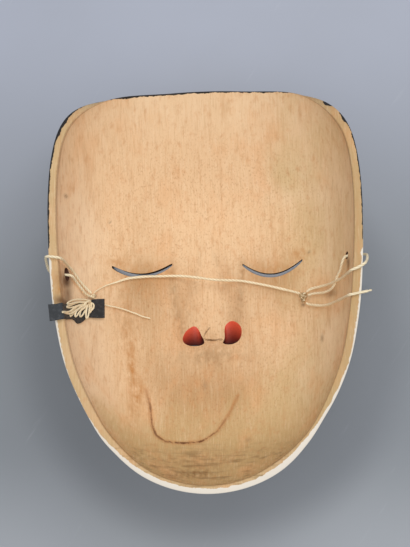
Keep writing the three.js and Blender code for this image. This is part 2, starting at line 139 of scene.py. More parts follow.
# The twine and its free lengths, in metres in the mask's frame, as in the part's source.
TWINE = 0.0012
THIN_TWINE = 0.0007
WAD_STRING = 0.68 * TWINE
TIE_ROUTE = (
    (-0.0548, 0.0039, -0.0339), (-0.0537, 0.0053, -0.0356), (-0.0518, 0.0069, -0.0383),
    (-0.0496, 0.0083, -0.0404), (-0.0455, 0.01, -0.0435), (-0.04, 0.0121, -0.0462),
    (-0.0343, 0.013, -0.0482), (-0.0291, 0.0134, -0.0497), (-0.0244, 0.0135, -0.0508),
    (-0.0186, 0.0136, -0.0514), (-0.0124, 0.0134, -0.0522), (-0.0071, 0.0129, -0.0536),
    (-0.0029, 0.0124, -0.0552), (0.0019, 0.0118, -0.0559), (0.0073, 0.0113, -0.0552),
    (0.0141, 0.0106, -0.053), (0.0214, 0.0091, -0.052), (0.0286, 0.0073, -0.0507),
    (0.0358, 0.0052, -0.049), (0.0396, 0.004, -0.0476), (0.0419, 0.0031, -0.046),
    (0.0428, 0.0026, -0.0453),
)
LEFT_LOOP_ROUTE = (
    (-0.0557, 0.0037, -0.0312), (-0.0575, 0.0054, -0.03), (-0.0599, 0.0082, -0.0263),
    (-0.0618, 0.011, -0.0224), (-0.0636, 0.0137, -0.0178), (-0.0648, 0.015, -0.012),
    (-0.0653, 0.0156, -0.006), (-0.0657, 0.0159, -0.0014), (-0.0666, 0.0162, 0.0012),
    (-0.0686, 0.0166, 0.0015), (-0.0709, 0.0169, 0.0014), (-0.0726, 0.017, 0.0009),
    (-0.0733, 0.0164, -0.0016), (-0.0735, 0.0154, -0.0048), (-0.0735, 0.014, -0.0084),
    (-0.0731, 0.0123, -0.012), (-0.0719, 0.0111, -0.0147), (-0.0695, 0.0109, -0.0155),
    (-0.0665, 0.0107, -0.0158), (-0.0634, 0.0103, -0.0174), (-0.0616, 0.008, -0.022),
    (-0.0596, 0.0052, -0.026), (-0.0582, 0.0033, -0.0284), (-0.0565, 0.0022, -0.0309),
)
RIGHT_LOOP_ROUTE = (
    (0.0461, 0.0033, -0.0428), (0.0478, 0.0042, -0.0418), (0.0497, 0.0046, -0.0404),
    (0.0519, 0.0048, -0.0381), (0.0545, 0.0049, -0.0345), (0.0586, 0.0052, -0.0252),
    (0.0616, 0.0056, -0.0166), (0.0634, 0.006, -0.0095), (0.0648, 0.0066, -0.0026),
    (0.0662, 0.0072, 0.0011), (0.0683, 0.0079, 0.0015), (0.0706, 0.009, 0.0014),
    (0.0724, 0.0102, 0.0009), (0.0732, 0.0115, -0.0016), (0.0737, 0.013, -0.0048),
    (0.0739, 0.0148, -0.0089), (0.0736, 0.0162, -0.0135), (0.0719, 0.0168, -0.0172),
    (0.0698, 0.0168, -0.0182), (0.0668, 0.0167, -0.0183), (0.0639, 0.0159, -0.0181),
    (0.0626, 0.0134, -0.0188), (0.0617, 0.0103, -0.0218), (0.0602, 0.0074, -0.0252),
    (0.0585, 0.0036, -0.0276), (0.0566, 0.0022, -0.0314), (0.0539, 0.0017, -0.0356),
    (0.0511, 0.0019, -0.0389), (0.0487, 0.0019, -0.0412), (0.0468, 0.0016, -0.0428),
)
RIGHT_TAIL_ROUTE = (
    (0.0457, -0.0021, -0.0436), (0.0468, -0.0028, -0.0429), (0.0484, -0.0033, -0.0415),
    (0.0507, -0.0039, -0.039), (0.053, -0.0044, -0.0361), (0.0559, -0.0046, -0.031),
    (0.0586, -0.0044, -0.0236), (0.0607, -0.0044, -0.0147), (0.0624, -0.0043, -0.008),
    (0.0637, -0.0043, -0.0025), (0.0652, -0.0041, 0.0011), (0.0672, -0.0038, 0.0014),
    (0.0692, -0.0034, 0.0014), (0.0714, -0.003, 0.0012), (0.0734, -0.0026, 0.0008),
)
LEFT_TAIL_ROUTE = (
    (-0.0548, 0.0015, -0.0346), (-0.0537, 0.0007, -0.0362), (-0.0522, -0.0001, -0.038),
    (-0.0506, -0.0008, -0.0397), (-0.0491, -0.0012, -0.0413), (-0.0476, -0.0014, -0.0427),
    (-0.046, -0.0016, -0.044), (-0.0445, -0.0019, -0.0452), (-0.0431, -0.0022, -0.0463),
    (-0.0413, -0.0027, -0.0475), (-0.0397, -0.0032, -0.0485), (-0.0381, -0.0038, -0.0494),
    (-0.0365, -0.0043, -0.0502), (-0.0349, -0.005, -0.0509), (-0.0335, -0.0056, -0.0515),
    (-0.0321, -0.006, -0.0519), (-0.0309, -0.0063, -0.0523), (-0.0295, -0.0066, -0.0526),
)

# The knots: where each sits on the wall, its lift off the wood and its half sizes.
LEFT_KNOT = {"x": -56.7, "y": 2.2, "lift": 1.95, "radii": (1.6, 1.4, 1.7)}
RIGHT_KNOT = {"x": 45.5, "y": 1.1, "lift": 1.95, "radii": (1.9, 2.7, 1.4)}

STRIP_THICKNESS = 0.9
STRIP_LIFT = 0.6
STRIP_LOBE_X = -60.4
# The strip as the camera sees it, from its outer end inwards: x, and y of its two long edges.
STRIP_STEPS = (0, 0.16, 0.31, 0.38, 0.47, 0.6, 0.73, 0.87, 1)
STRIP_EDGES = {
    "x": (STRIP_STEPS, (-71.8, -68.4, -65.2, -63.8, -61.9, -59.3, -56.5, -53.7, -50.7)),
    "upper": (STRIP_STEPS, (-5, -4.8, -4.2, -3, -2, -0.4, 0.8, 1.6, 2)),
    "lower": (STRIP_STEPS, (-12.6, -12.2, -11.7, -10.4, -9.4, -8.5, -7.7, -7.5, -7.2)),
}


def deselect_all():
    if bpy.context.object and bpy.context.object.mode != "OBJECT":
        bpy.ops.object.mode_set(mode="OBJECT")
    bpy.ops.object.select_all(action="DESELECT")


def make_active(piece):
    deselect_all()
    piece.select_set(True)
    bpy.context.view_layer.objects.active = piece


def points_of(piece):
    points = np.empty(len(piece.data.vertices) * 3)
    piece.data.vertices.foreach_get("co", points)
    return points.reshape(-1, 3)


def move_points(piece, points):
    piece.data.vertices.foreach_set("co", np.asarray(points, dtype=float).ravel())
    piece.data.update()


def store_fields(piece, **fields):
    """Keeps numbers on the mesh, one a vertex in each field, which materials read by the field's name."""
    for name, values in fields.items():
        attribute = piece.data.attributes.new(name, "FLOAT", "POINT")
        attribute.data.foreach_set("value", np.asarray(values, dtype=np.float32))


def lay(piece):
    """Takes a piece drawn in millimetres in the mask's frame to its place in the row frame."""
    piece.data.transform(LAID @ Matrix.Scale(MM, 4))
    piece.data.update()


def unit(ways):
    """Directions, each made one long."""
    return ways / np.linalg.norm(ways, axis=-1, keepdims=True)


def laid_points(points):
    """Row frame places of points given in metres in the mask's frame."""
    turn = np.array(LAID.to_3x3())
    return np.asarray(points, dtype=float) @ turn.T + np.array(LYING_PLACE)


def declare(piece, node):
    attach(piece, "root")
    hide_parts(node)


# The camera.


def make_camera():
    right = Vector((math.cos(CAMERA_LEAN), 0, -math.sin(CAMERA_LEAN)))
    back = Vector((math.sin(CAMERA_LEAN), 0, math.cos(CAMERA_LEAN)))
    up = Vector((0, 1, 0))
    side = math.cos(CAMERA_ROLL) * right - math.sin(CAMERA_ROLL) * up
    head = math.sin(CAMERA_ROLL) * right + math.cos(CAMERA_ROLL) * up
    target = LAID @ Vector(CAMERA_TARGET)
    data = bpy.data.cameras.new("photo_camera")
    data.sensor_width = SENSOR
    data.lens = SENSOR * FOCAL_PIXELS / FRAME_HEIGHT_PIXELS
    data.clip_end = 20
    camera = bpy.data.objects.new("photo_camera", data)
    bpy.context.scene.collection.objects.link(camera)
    turn = Matrix((side, head, back)).transposed()
    camera.matrix_world = Matrix.Translation(target + back * CAMERA_DISTANCE) @ turn.to_4x4()
    bpy.context.scene.camera = camera


# The carved shapes, in millimetres in the mask's frame, for many places at a time.


def rise(value, start, end):
    """A soft step from 0 at start to 1 at end, in either direction."""
    t = np.clip((value - start) / (end - start), 0, 1)
    return t * t * (3 - 2 * t)


def bell(value, reach, power=2):
    return np.exp(-((np.abs(value) / reach) ** power))


def bump(x, y, centre_x, centre_y, reach_x, reach_y, height):
    """A rounded rise, or with a negative height a rounded dip."""
    return height * np.exp(-(((x - centre_x) / reach_x) ** 2) - ((y - centre_y) / reach_y) ** 2)


def bumps(x, y, *places):
    """The sum of several bumps, each its middle, its two reaches and its height."""
    return sum(bump(x, y, *place) for place in places)


def curve_between(t, start, leave, end, arrive):
    """Places at shares t of a smooth curve, from its ends and the speeds it leaves and arrives with."""
    return (
        (2 * t**3 - 3 * t**2 + 1) * start + (t**3 - 2 * t**2 + t) * leave
        + (3 * t**2 - 2 * t**3) * end + (t**3 - t**2) * arrive
    )


def stretches(loop):
    """Each stretch of a closed run of points: the point before it, its two ends and the point after it."""
    return zip(np.roll(loop, 1, axis=0), loop, np.roll(loop, -1, axis=0), np.roll(loop, -2, axis=0))


def make_rim_table():
    left = [(-x, y) for x, y in RIM_HALF[-2:0:-1]]
    loop = np.array([*RIM_HALF, *left], dtype=float)
    steps = np.linspace(0, 1, 24, endpoint=False)[:, None]
    places = np.vstack([
        curve_between(steps, start, (end - before) / 2, end, (after - start) / 2)
        for before, start, end, after in stretches(loop)
    ])
    angles = np.arctan2(places[:, 1], places[:, 0])
    order = np.argsort(angles)
    return angles[order], np.hypot(*places.T)[order]


RIM_ANGLES, RIM_RADII = make_rim_table()


def wrapped(angle):
    """An angle brought to within half a turn either way."""
    return np.arctan2(np.sin(angle), np.cos(angle))


def uneven(angle, spots):
    """What single spots round the rim add, each its direction in degrees, its reach and its gain."""
    turned = np.degrees(wrapped(angle))
    return sum(gain * bell(turned - middle, reach) for middle, reach, gain in spots)


def rim_radius(angle):
    even = np.interp(wrapped(angle), RIM_ANGLES, RIM_RADII, period=2 * math.pi)
    return even + uneven(angle, RIM_UNEVEN)


def degrees_from_top(angle):
    return np.degrees(np.abs(wrapped(angle - math.pi / 2)))


def crown(angle):
    return rise(degrees_from_top(angle), CROWN_STARTS, CROWN_FULL)


def edge_width(angle):
    at_chin = EDGE_LOSS_CHIN * rise(-np.sin(angle), 0.8, 0.98)
    low_down = EDGE_LOSS_LOW * bell(np.sin(angle) + 0.6, 0.3)
    width = EDGE_AT_SIDES - at_chin - low_down + uneven(angle, EDGE_UNEVEN)
    return width * rise(degrees_from_top(angle), *EDGE_TURNS)


def hollow_radius(angle):
    return rim_radius(angle) - edge_width(angle)


def bowl_depth(share, angle, depth, drop, square):
    top = crown(angle)
    section = np.maximum(0, 1 - share**square) ** (0.5 + 0.5 * top)
    return drop * top + (depth - drop * top) * section


def fade_at_rim(share, angle):
    top = crown(angle)
    return rise(share, 1, 0.83) * (1 - top) + top


def nose(x, y):
    down = rise(y, NOSE_ROOT_Y, NOSE_TIP_Y)
    under = rise(y, NOSE_BASE_Y, NOSE_TIP_Y - 2.5)
    from_brow = rise(y, BROW_Y + 6, NOSE_ROOT_Y - 2)
    ridge = (2.2 + 9.8 * down**1.3) * bell(x, 5.5 + 3.5 * down, 2.4) * from_brow
    base = 3.8 * down * bell(x, 16, 3)
    wings = bump(np.abs(x), y, 11.5, NOSE_TIP_Y - 2.5, 5.5, 6.5, 6)
    return (ridge + base) * under + wings * rise(y, NOSE_BASE_Y - 1, NOSE_BASE_Y + 6)


def beside_eye(x):
    """How far a place is from the middle of the nearer eye, across the face."""
    return np.abs(x - EYE_LEAN) - EYE_SPREAD


def slit_height(slit, along):
    """A slit's height at a share of its half width, either way from its middle."""
    return slit["ends"] - slit["sag"] * (1 - along**2) + SLIT_RISE * along


def lash_height(x):
    """The lower edge of each lid, just under its slit."""
    left, right = (slit_height(slit, (x - slit["x"]) / slit["half_width"]) for slit in SLITS)
    return np.where(x < EYE_LEAN, left, right) - 0.4


def eyes(x, y):
    side = beside_eye(x)
    socket = bumps(side, y, (0, EYE_Y - 1, 21, 12, -6), (-20, EYE_Y + 1, 6, 9, -1.5))
    lid_and_brow = bumps(side, y, (0, EYE_Y + 0.5, 15, 8.5, 6), (-2, BROW_Y, 22, 6, 2.2))
    below = lash_height(x) - y
    lid_edge = -1.4 * rise(15.5 - np.abs(side), 0, 5) * rise(below, -0.6, 0.6) * rise(below, 7, 0.6)
    fold = -0.9 * bell(y - 28 + 3 * (side / 15) ** 2, 1.3) * rise(17 - np.abs(side), 0, 6)
    return socket + lid_and_brow + lid_edge + fold


def lips_parting(x):
    return MOUTH_Y + 1.8 * (x / 19) ** 2 - bell(x, 4.5)


def mouth(x, y):
    span = rise(19.5 - np.abs(x), 0, 9)
    above = y - lips_parting(x)
    muzzle = bump(x, y, 0, MOUTH_Y + 1, 26, 16, 4.5)
    upper_lip = 2.8 * span * bell(above - 2.6, 2.6)
    lower_lip = 3.6 * rise(16 - np.abs(x), 0, 9) * bell(above + 4, 3.4)
    line = -1.6 * span * bell(above, 0.9)
    crease = bump(x, y, 0, MOUTH_Y - 11, 11, 3.2, -2.2)
    corner = bump(np.abs(x), y, 20.5, MOUTH_Y + 0.5, 3.5, 3.5, -1.2)
    groove = rise(y, MOUTH_Y + 5, MOUTH_Y + 8) * rise(y, MOUTH_Y + 17, MOUTH_Y + 13)
    return muzzle + upper_lip + lower_lip + line + crease + corner - 1.1 * bell(x, 2.2) * groove


def past_hairline(x, y):
    return y - 66 + 3.5 * bell(x, 7) + 30 * np.abs(x / 72) ** 3


def hair(x, y, share):
    """Raised hair combed into locks from a parting; the grooves run out before the sawn edge."""
    past = past_hairline(x, y)
    grooved = rise(past, 1, 3) * rise(share, 1, 0.95)
    locks = np.sin(2 * math.pi * (0.35 * np.abs(x) + past + 1.2 * np.sin(x / 9)) / LOCK_SPACING)
    parting = -1.6 * bell(x, 1.2)
    return HAIR_RAISE * rise(past, -0.8, 1.6) + (0.42 * locks + parting) * grooved


def face_depth(x, y, share, angle):
    side = np.abs(x)
    forehead_and_chin = bumps(x, y, (0, FOREHEAD_Y, 62, 30, 8.6), (0, CHIN_Y, 15, 11, 7))
    brow_bosses = bump(side, y, 28, FOREHEAD_Y - 1, 15, 15, 4.2)
    cheeks_and_temples = bumps(side, y, (38, -10, 18, 18, 4), (36, -44, 14, 16, -2.5), (60, 22, 12, 20, -2))
    features = forehead_and_chin + brow_bosses + cheeks_and_temples + hair(x, y, share)
    features = features + nose(x, y) + eyes(x, y) + mouth(x, y)
    bowl = bowl_depth(share, angle, FACE_DEPTH, FACE_DROP, FACE_SQUARE)
    return bowl + features * fade_at_rim(share, angle)


# A crease and a scratch between the nostrils, and the line that a round gouge left inside the chin.
CREASE = ((-4.6, -16.6), (-1.4, -16.9), (1.2, -17.2), (4.6, -16.8))
SCRATCH = ((-4.7, -15.6), (-3.4, -13.2), (-1.4, -10.6))
CHIN_LINE = (
    (-31.7, -41.7), (-29.8, -49), (-28.6, -58.7), (-26.7, -63.6), (-22.5, -66.5), (-14.6, -67.5),
    (-6.3, -66.8), (-3, -65.2), (2.2, -61.4), (7, -54.1), (11.9, -44.6),
)


def distance_to_line(x, y, line):
    nearest = np.full(np.shape(x), 1e9)
    for (ax, ay), (bx, by) in zip(line[:-1], line[1:]):
        run_x, run_y = bx - ax, by - ay
        t = np.clip(((x - ax) * run_x + (y - ay) * run_y) / (run_x**2 + run_y**2), 0, 1)
        nearest = np.minimum(nearest, np.hypot(x - ax - t * run_x, y - ay - t * run_y))
    return nearest


def gouge_row(x, y):
    """Where a low row of short upright cuts runs inside the chin: 0 beside it and 1 in a cut."""
    in_row = bell(y + 82.7 - 0.005 * (x + 9) ** 2, 1.9, 4) * bell(x + 8.7, 10.5, 6)
    return in_row * (0.5 + 0.5 * np.cos(2 * math.pi * x / 2.7))


def tool_marks(x, y):
    """Fine marks of the gouge: the chin line, a crease between the nostrils, a row of cuts and ripples."""
    chin_line = 0.5 * bell(distance_to_line(x, y, CHIN_LINE), 0.9) * rise(y, -38, -50)
    crease = 0.45 * bell(y + 17.5, 0.8) * bell(x - 0.2, 5, 6)
    ripples = 0.16 * np.sin(x / 5.5 + 0.6 * np.sin(y / 13)) * np.sin(y / 16 + 0.5 * np.sin(x / 11))
    return chin_line + crease + 0.6 * gouge_row(x, y) + ripples


def hollow_features(x, y):
    """What the gouge took out beyond the plain bowl: brow, cheeks, chin and the nose's long trough."""
    brow_and_chin = bumps(x, y, (0, FOREHEAD_Y - 1, 58, 30, 10), (0, -52, 34, 26, 6))
    cheeks_and_sockets = bumps(np.abs(x), y, (36, -14, 20, 20, 3), (EYE_SPREAD, EYE_Y, 20, 12, -3.5))
    along = rise(y, 42, -8) * rise(y, -25, -14)
    trough = 8 * along * bell(x + 1.5, 6 + 10 * rise(y, 34, -12), TROUGH_EDGE)
    return brow_and_chin + cheeks_and_sockets + trough


def hollow_depth(x, y, share, angle):
    bowl = bowl_depth(share, angle, HOLLOW_DEPTH, HOLLOW_DROP, HOLLOW_SQUARE)
    return bowl + hollow_features(x, y) * fade_at_rim(share, angle)


def marked_hollow_depth(x, y, share, angle):
    return hollow_depth(x, y, share, angle) + tool_marks(x, y) * rise(share, 1, 0.97)


def share_of_hollow(x, y):
    """How far out a place is, from 0 in the middle to 1 at the rim's inner edge and beyond."""
    return np.minimum(1, np.hypot(x, y) / hollow_radius(np.arctan2(y, x)))


def wall_depth(x, y):
    return hollow_depth(x, y, share_of_hollow(x, y), np.arctan2(y, x))


def on_wall(x, y, lift):
    """A place on the wood inside the hollow, raised off it along the surface's own normal."""
    reach = 0.3
    slope_x = (wall_depth(x + reach, y) - wall_depth(x - reach, y)) / (2 * reach)
    slope_y = (wall_depth(x, y + reach) - wall_depth(x, y - reach)) / (2 * reach)
    return np.array([x, y, -wall_depth(x, y)]) + lift * unit(np.array([slope_x, slope_y, 1]))


def seen_over(x, y, lift):
    """Places raised off the wood straight at the camera, so that they cover the same place from there."""
    places = np.stack([x, y, -wall_depth(x, y)], axis=-1)
    camera = LAID.inverted() @ bpy.context.scene.camera.matrix_world.translation
    return places + unit(np.array(camera) / MM - places) * lift[..., None]


# The twine.


def steps_along(points):
    """How far each point is from the one before it."""
    return np.linalg.norm(np.diff(points, axis=0), axis=1)


def smooth_path(route, spacing):
    """An even run of points along a smooth curve through the route's points."""
    route = np.asarray(route, dtype=float)
    knots = np.concatenate([[0], np.cumsum(steps_along(route) ** 0.5)])
    slopes = np.gradient(route, knots, axis=0)
    fine = np.linspace(0, knots[-1], 60 * len(route))
    index = np.clip(np.searchsorted(knots, fine, side="right") - 1, 0, len(route) - 2)
    gap = (knots[index + 1] - knots[index])[:, None]
    t = (fine - knots[index])[:, None] / gap
    curve = curve_between(t, route[index], gap * slopes[index], route[index + 1], gap * slopes[index + 1])
    along = np.concatenate([[0], np.cumsum(steps_along(curve))])
    even = np.linspace(0, along[-1], max(8, round(along[-1] / spacing)) + 1)
    return np.stack([np.interp(even, along, curve[:, axis]) for axis in range(3)], axis=1)


def length_of(path):
    return float(steps_along(path).sum())


def frames_along(path):
    """Two directions square to the path at each of its points, with no twist of their own."""
    heading = unit(np.gradient(path, axis=0))
    first = np.zeros_like(path)
    first[0] = unit(np.cross(heading[0], (0.3, 0.2, 0.9)))
    for index in range(1, len(path)):
        carried = first[index - 1]
        first[index] = unit(carried - heading[index] * np.dot(carried, heading[index]))
    return first, np.cross(heading, first)


PLIES = 3
SIDES = 15
TURNS_PER_DIAMETER = 0.2
RIDGE = 0.16

# Gaps between the rings of points along a string, in its diameters, and how thin its cut ends get.
TWINE_RING_GAP = 0.35
WAD_RING_GAP = 0.4
CUT_TIP = 0.8
KNOT_SQUEEZE = 0.92
FRAYED_HAIRS = 11


def plied_tube(path, diameter, tip=1.0, seed=0, thin_start=0.0):
    """Points, faces and crests of three plies laid up round each other along a path, closed at both ends.

    The first thin_start metres are pulled tight and thinner.
    """
    rng = np.random.default_rng(seed)
    along = np.linspace(0, length_of(path), len(path))
    first, second = frames_along(path)
    wave = sum(
        np.sin(along / diameter * rate + phase)
        for rate, phase in zip((0.31, 0.53, 0.87), rng.uniform(0, 2 * math.pi, 3))
    )
    size = diameter / 2 * (1.1 + 0.04 * wave)
    if thin_start:
        size = size * (0.45 + 0.55 * rise(along, 0.2 * thin_start, thin_start))
    ends = np.minimum(along, along[-1] - along) / diameter
    size = size * (tip + (1 - tip) * np.clip(ends / 0.8, 0, 1))
    turn = np.linspace(0, 2 * math.pi, SIDES, endpoint=False)
    twist = 2 * math.pi * TURNS_PER_DIAMETER * along / diameter
    round_ply = np.abs(np.cos(PLIES / 2 * (turn[None, :] - twist[:, None])))
    radius = size[:, None] * (1 - RIDGE + RIDGE * round_ply)
    outwards = np.cos(turn)[:, None] * first[:, None] + np.sin(turn)[:, None] * second[:, None]
    rings = path[:, None] + radius[..., None] * outwards
    last = (len(path) - 1) * SIDES
    faces = []
    for low in range(0, last, SIDES):
        for side in range(SIDES):
            after = (side + 1) % SIDES
            faces.append((low + side, low + after, low + SIDES + after, low + SIDES + side))
    faces += [tuple(range(SIDES - 1, -1, -1)), tuple(range(last, last + SIDES))]
    return rings.reshape(-1, 3), faces, round_ply.ravel()


def mesh_piece(name, points, faces, material):
    mesh = bpy.data.meshes.new(name)
    mesh.from_pydata([tuple(point) for point in points], [], faces)
    mesh.update()
    piece = bpy.data.objects.new(name, mesh)
    bpy.context.scene.collection.objects.link(piece)
    mesh.materials.append(material)
    make_active(piece)
    bpy.ops.object.shade_smooth_by_angle(angle=math.radians(50))
    return piece


def bundle_piece(name, tubes, material):
    """One piece of several tubes, each given as its points, its faces and its plies' crests."""
    points, faces = [], []
    for tube_points, tube_faces, _ in tubes:
        start = sum(len(group) for group in points)
        points.append(tube_points)
        faces += [tuple(start + index for index in face) for face in tube_faces]
    piece = mesh_piece(name, np.vstack(points), faces, material)
    crest = np.concatenate([crest for _, _, crest in tubes])
    # The groove field is painted shade between the plies, strongest furthest from a ply's crest.
    store_fields(piece, groove=np.clip(1.1 - 1.8 * crest, 0, 1))
    return piece


def frayed_end(path, diameter, seed):
    """The loose fibres past a cut end: a short brush of fine bent hairs."""
    rng = np.random.default_rng(seed)
    end = path[-1]
    heading = unit(path[-1] - path[-4])
    first, second = (direction[-1] for direction in frames_along(path))
    tubes = []
    for _ in range(FRAYED_HAIRS):
        turn = rng.uniform(0, 2 * math.pi)
        out = math.cos(turn) * first + math.sin(turn) * second
        reach = rng.uniform(1.0, 1.7) * diameter
        spread = rng.uniform(0.2, 0.75) * diameter
        hair_route = [
            end - 0.3 * diameter * heading + 0.25 * diameter * out,
            end + 0.45 * reach * heading + 0.5 * spread * out,
            end + 0.9 * reach * heading + spread * out,
        ]
        tubes.append(plied_tube(smooth_path(hair_route, diameter / 3), 0.2 * diameter, tip=0.5, seed=seed))
    return tubes


def make_twine(node, route, diameter, material, seed, thin_start=0.0, frayed=False):
    path = smooth_path(laid_points(route), TWINE_RING_GAP * diameter)
    tubes = [plied_tube(path, diameter, CUT_TIP, seed, thin_start)]
    if frayed:
        tubes += frayed_end(path, diameter, seed)
    piece = bundle_piece(f"{node}_string", tubes, material)
    declare(piece, node)
    return piece, path


def make_knot(side, knot, material, seed, dirt):
    """A pulled overhand knot: a closed three-lobed path squeezed into the knot's half sizes."""
    t = np.linspace(0, 2 * math.pi, 90)
    lobes = [np.sin(t) + 2 * np.sin(2 * t), np.cos(t) - 2 * np.cos(2 * t), -1.6 * np.sin(3 * t)]
    loop = np.stack(lobes, axis=1)
    radius = TWINE / MM / 2 * KNOT_SQUEEZE
    loop = loop / np.abs(loop).max(axis=0) * (np.array(knot["radii"]) - radius)
    path = laid_points((loop + on_wall(knot["x"], knot["y"], knot["lift"])) * MM)
    tubes = [plied_tube(path, 2 * radius * MM, seed=seed)]
    piece = bundle_piece(f"{side}_overhand_knot", tubes, material)
    store_fields(piece, soiled=np.full(len(piece.data.vertices), dirt))
    declare(piece, f"{side}_knot")
    return piece


# Materials.


def linear(hex_colour):
    """An sRGB hex colour as the linear colour that a shader takes."""
    parts = [int(hex_colour[start:start + 2], 16) / 255 for start in (1, 3, 5)]
    return [part / 12.92 if part <= 0.04045 else ((part + 0.055) / 1.055) ** 2.4 for part in parts] + [1]


def new_material(name, **sockets):
    """A material with values set on its shader's own sockets, as its node tree and its shader."""
    material = bpy.data.materials.new(name)
    material.use_nodes = True
    shader = material.node_tree.nodes["Principled BSDF"]
    for socket, value in sockets.items():
        shader.inputs[socket].default_value = value
    return material, material.node_tree, shader


def add_node(tree, kind, settings=None, inputs=None):
    """Adds a node, gives it its settings, and links or sets its inputs."""
    node = tree.nodes.new(kind)
    for name, value in (settings or {}).items():
        setattr(node, name, value)
    for socket, value in (inputs or {}).items():
        if isinstance(value, bpy.types.NodeSocket):
            tree.links.new(value, node.inputs[socket])
        else:
            node.inputs[socket].default_value = value
    return node


def mask_millimetres(tree):
    """Places in the mask's own frame, in millimetres, from the object's coordinates."""
    place = add_node(tree, "ShaderNodeTexCoord")
    turned = {"Location": LYING_PLACE, "Rotation": (-LYING_TILT, 0, 0), "Scale": (MM, MM, MM)}
    inputs = {"Vector": place.outputs["Object"], **turned}
    return add_node(tree, "ShaderNodeMapping", {"vector_type": "TEXTURE"}, inputs).outputs[0]


def pattern(tree, place, size, detail=4, roughness=0.55):
    """Noise whose blots measure the given millimetres in x, y and z."""
    scale = [1 / length for length in size]
    spread = add_node(tree, "ShaderNodeMapping", None, {"Vector": place, "Scale": scale})
    inputs = {"Vector": spread.outputs[0], "Scale": 1, "Detail": detail, "Roughness": roughness}
    return add_node(tree, "ShaderNodeTexNoise", None, inputs).outputs["Fac"]


SOFT_RANGE = {"interpolation_type": "SMOOTHSTEP", "clamp": True}


def blots(tree, place, size, low, high, most=1.0, detail=4):
    """Soft blots of the given size: none where the noise is at low, as strong as most where at high."""
    inputs = {"Value": pattern(tree, place, size, detail), 1: low, 2: high, 4: most}
    return add_node(tree, "ShaderNodeMapRange", SOFT_RANGE, inputs).outputs[0]


def field_times(tree, name, share):
    """A field kept on the mesh, times a share."""
    field = add_node(tree, "ShaderNodeAttribute", {"attribute_name": name}).outputs["Fac"]
    return add_node(tree, "ShaderNodeMath", {"operation": "MULTIPLY"}, {0: field, 1: share}).outputs[0]


def field_plus(tree, name, noise, amount):
    """A field kept on the mesh, plus an amount of noise."""
    field = add_node(tree, "ShaderNodeAttribute", {"attribute_name": name}).outputs["Fac"]
    inputs = {0: noise, 1: amount, 2: field}
    return add_node(tree, "ShaderNodeMath", {"operation": "MULTIPLY_ADD"}, inputs).outputs[0]


def ragged(tree, name, edge, soft, noise, sway, most=1.0):
    """Up to most where a distance kept on the mesh is less than an edge that noise sways to and fro."""
    swayed = field_plus(tree, name, noise, 2 * sway)
    inputs = {"Value": swayed, 1: edge + sway + soft, 2: edge + sway - soft, 4: most}
    return add_node(tree, "ShaderNodeMapRange", SOFT_RANGE, inputs).outputs[0]


def coats(tree, ground, *layers):
    """Colours laid one over another on a colour or on other coats, each as strong as its own share."""
    colour = linear(ground) if isinstance(ground, str) else ground
    for share, coat in layers:
        blend = {"data_type": "RGBA", "clamp_factor": True}
        colour = add_node(tree, "ShaderNodeMix", blend, {0: share, 6: colour, 7: linear(coat)}).outputs[2]
    return colour


def cover(tree, shader, colour, height, depth_mm):
    """Gives a shader its colour and a fine relief of the given depth."""
    tree.links.new(colour, shader.inputs["Base Color"])
    relief = add_node(tree, "ShaderNodeBump", None, {"Height": height, "Distance": depth_mm * MM})
    tree.links.new(relief.outputs[0], shader.inputs["Normal"])


def make_twine_material():
    """Cotton string, three plies laid up by machine: matt and cream, with painted shade in its grooves and
    soiled on its knots.
    """
    material, tree, shader = new_material("cotton_string", Roughness=0.9, IOR=1.5)
    place = mask_millimetres(tree)
    colour = coats(
        tree, "#f5e2b9", (blots(tree, place, (0.2, 0.2, 0.2), 0.35, 0.7, 0.6, 3), "#fff8e6"),
        (blots(tree, place, (5, 5, 5), 0.52, 0.78, 0.4, 2), "#dfc08c"),
        # Painted shade in the grooves between the plies.
        (field_times(tree, "groove", 0.55), "#94713c"),
        (field_times(tree, "soiled", blots(tree, place, (1.2, 1.2, 1.2), 0.3, 0.6)), "#8d6a35"),
    )
    cover(tree, shader, colour, pattern(tree, place, (0.2, 0.2, 0.2), 3), 0.06)
    return material


def make_rubber():
    """A strip cut from an inner tube: dull black rubber with a bloom of dust and small pale scuffs."""
    material, tree, shader = new_material("inner_tube_rubber", Roughness=0.7, IOR=1.52)
    place = mask_millimetres(tree)
    colour = coats(
        tree, "#25282c", (blots(tree, place, (1.6, 1.6, 1.6), 0.45, 0.75, 0.6), "#4b4d50"),
        (blots(tree, place, (0.5, 0.5, 0.5), 0.62, 0.78, 0.4, 2), "#6e7074"),
    )
    cover(tree, shader, colour, pattern(tree, place, (0.3, 0.3, 0.3), 2), 0.06)
    return material


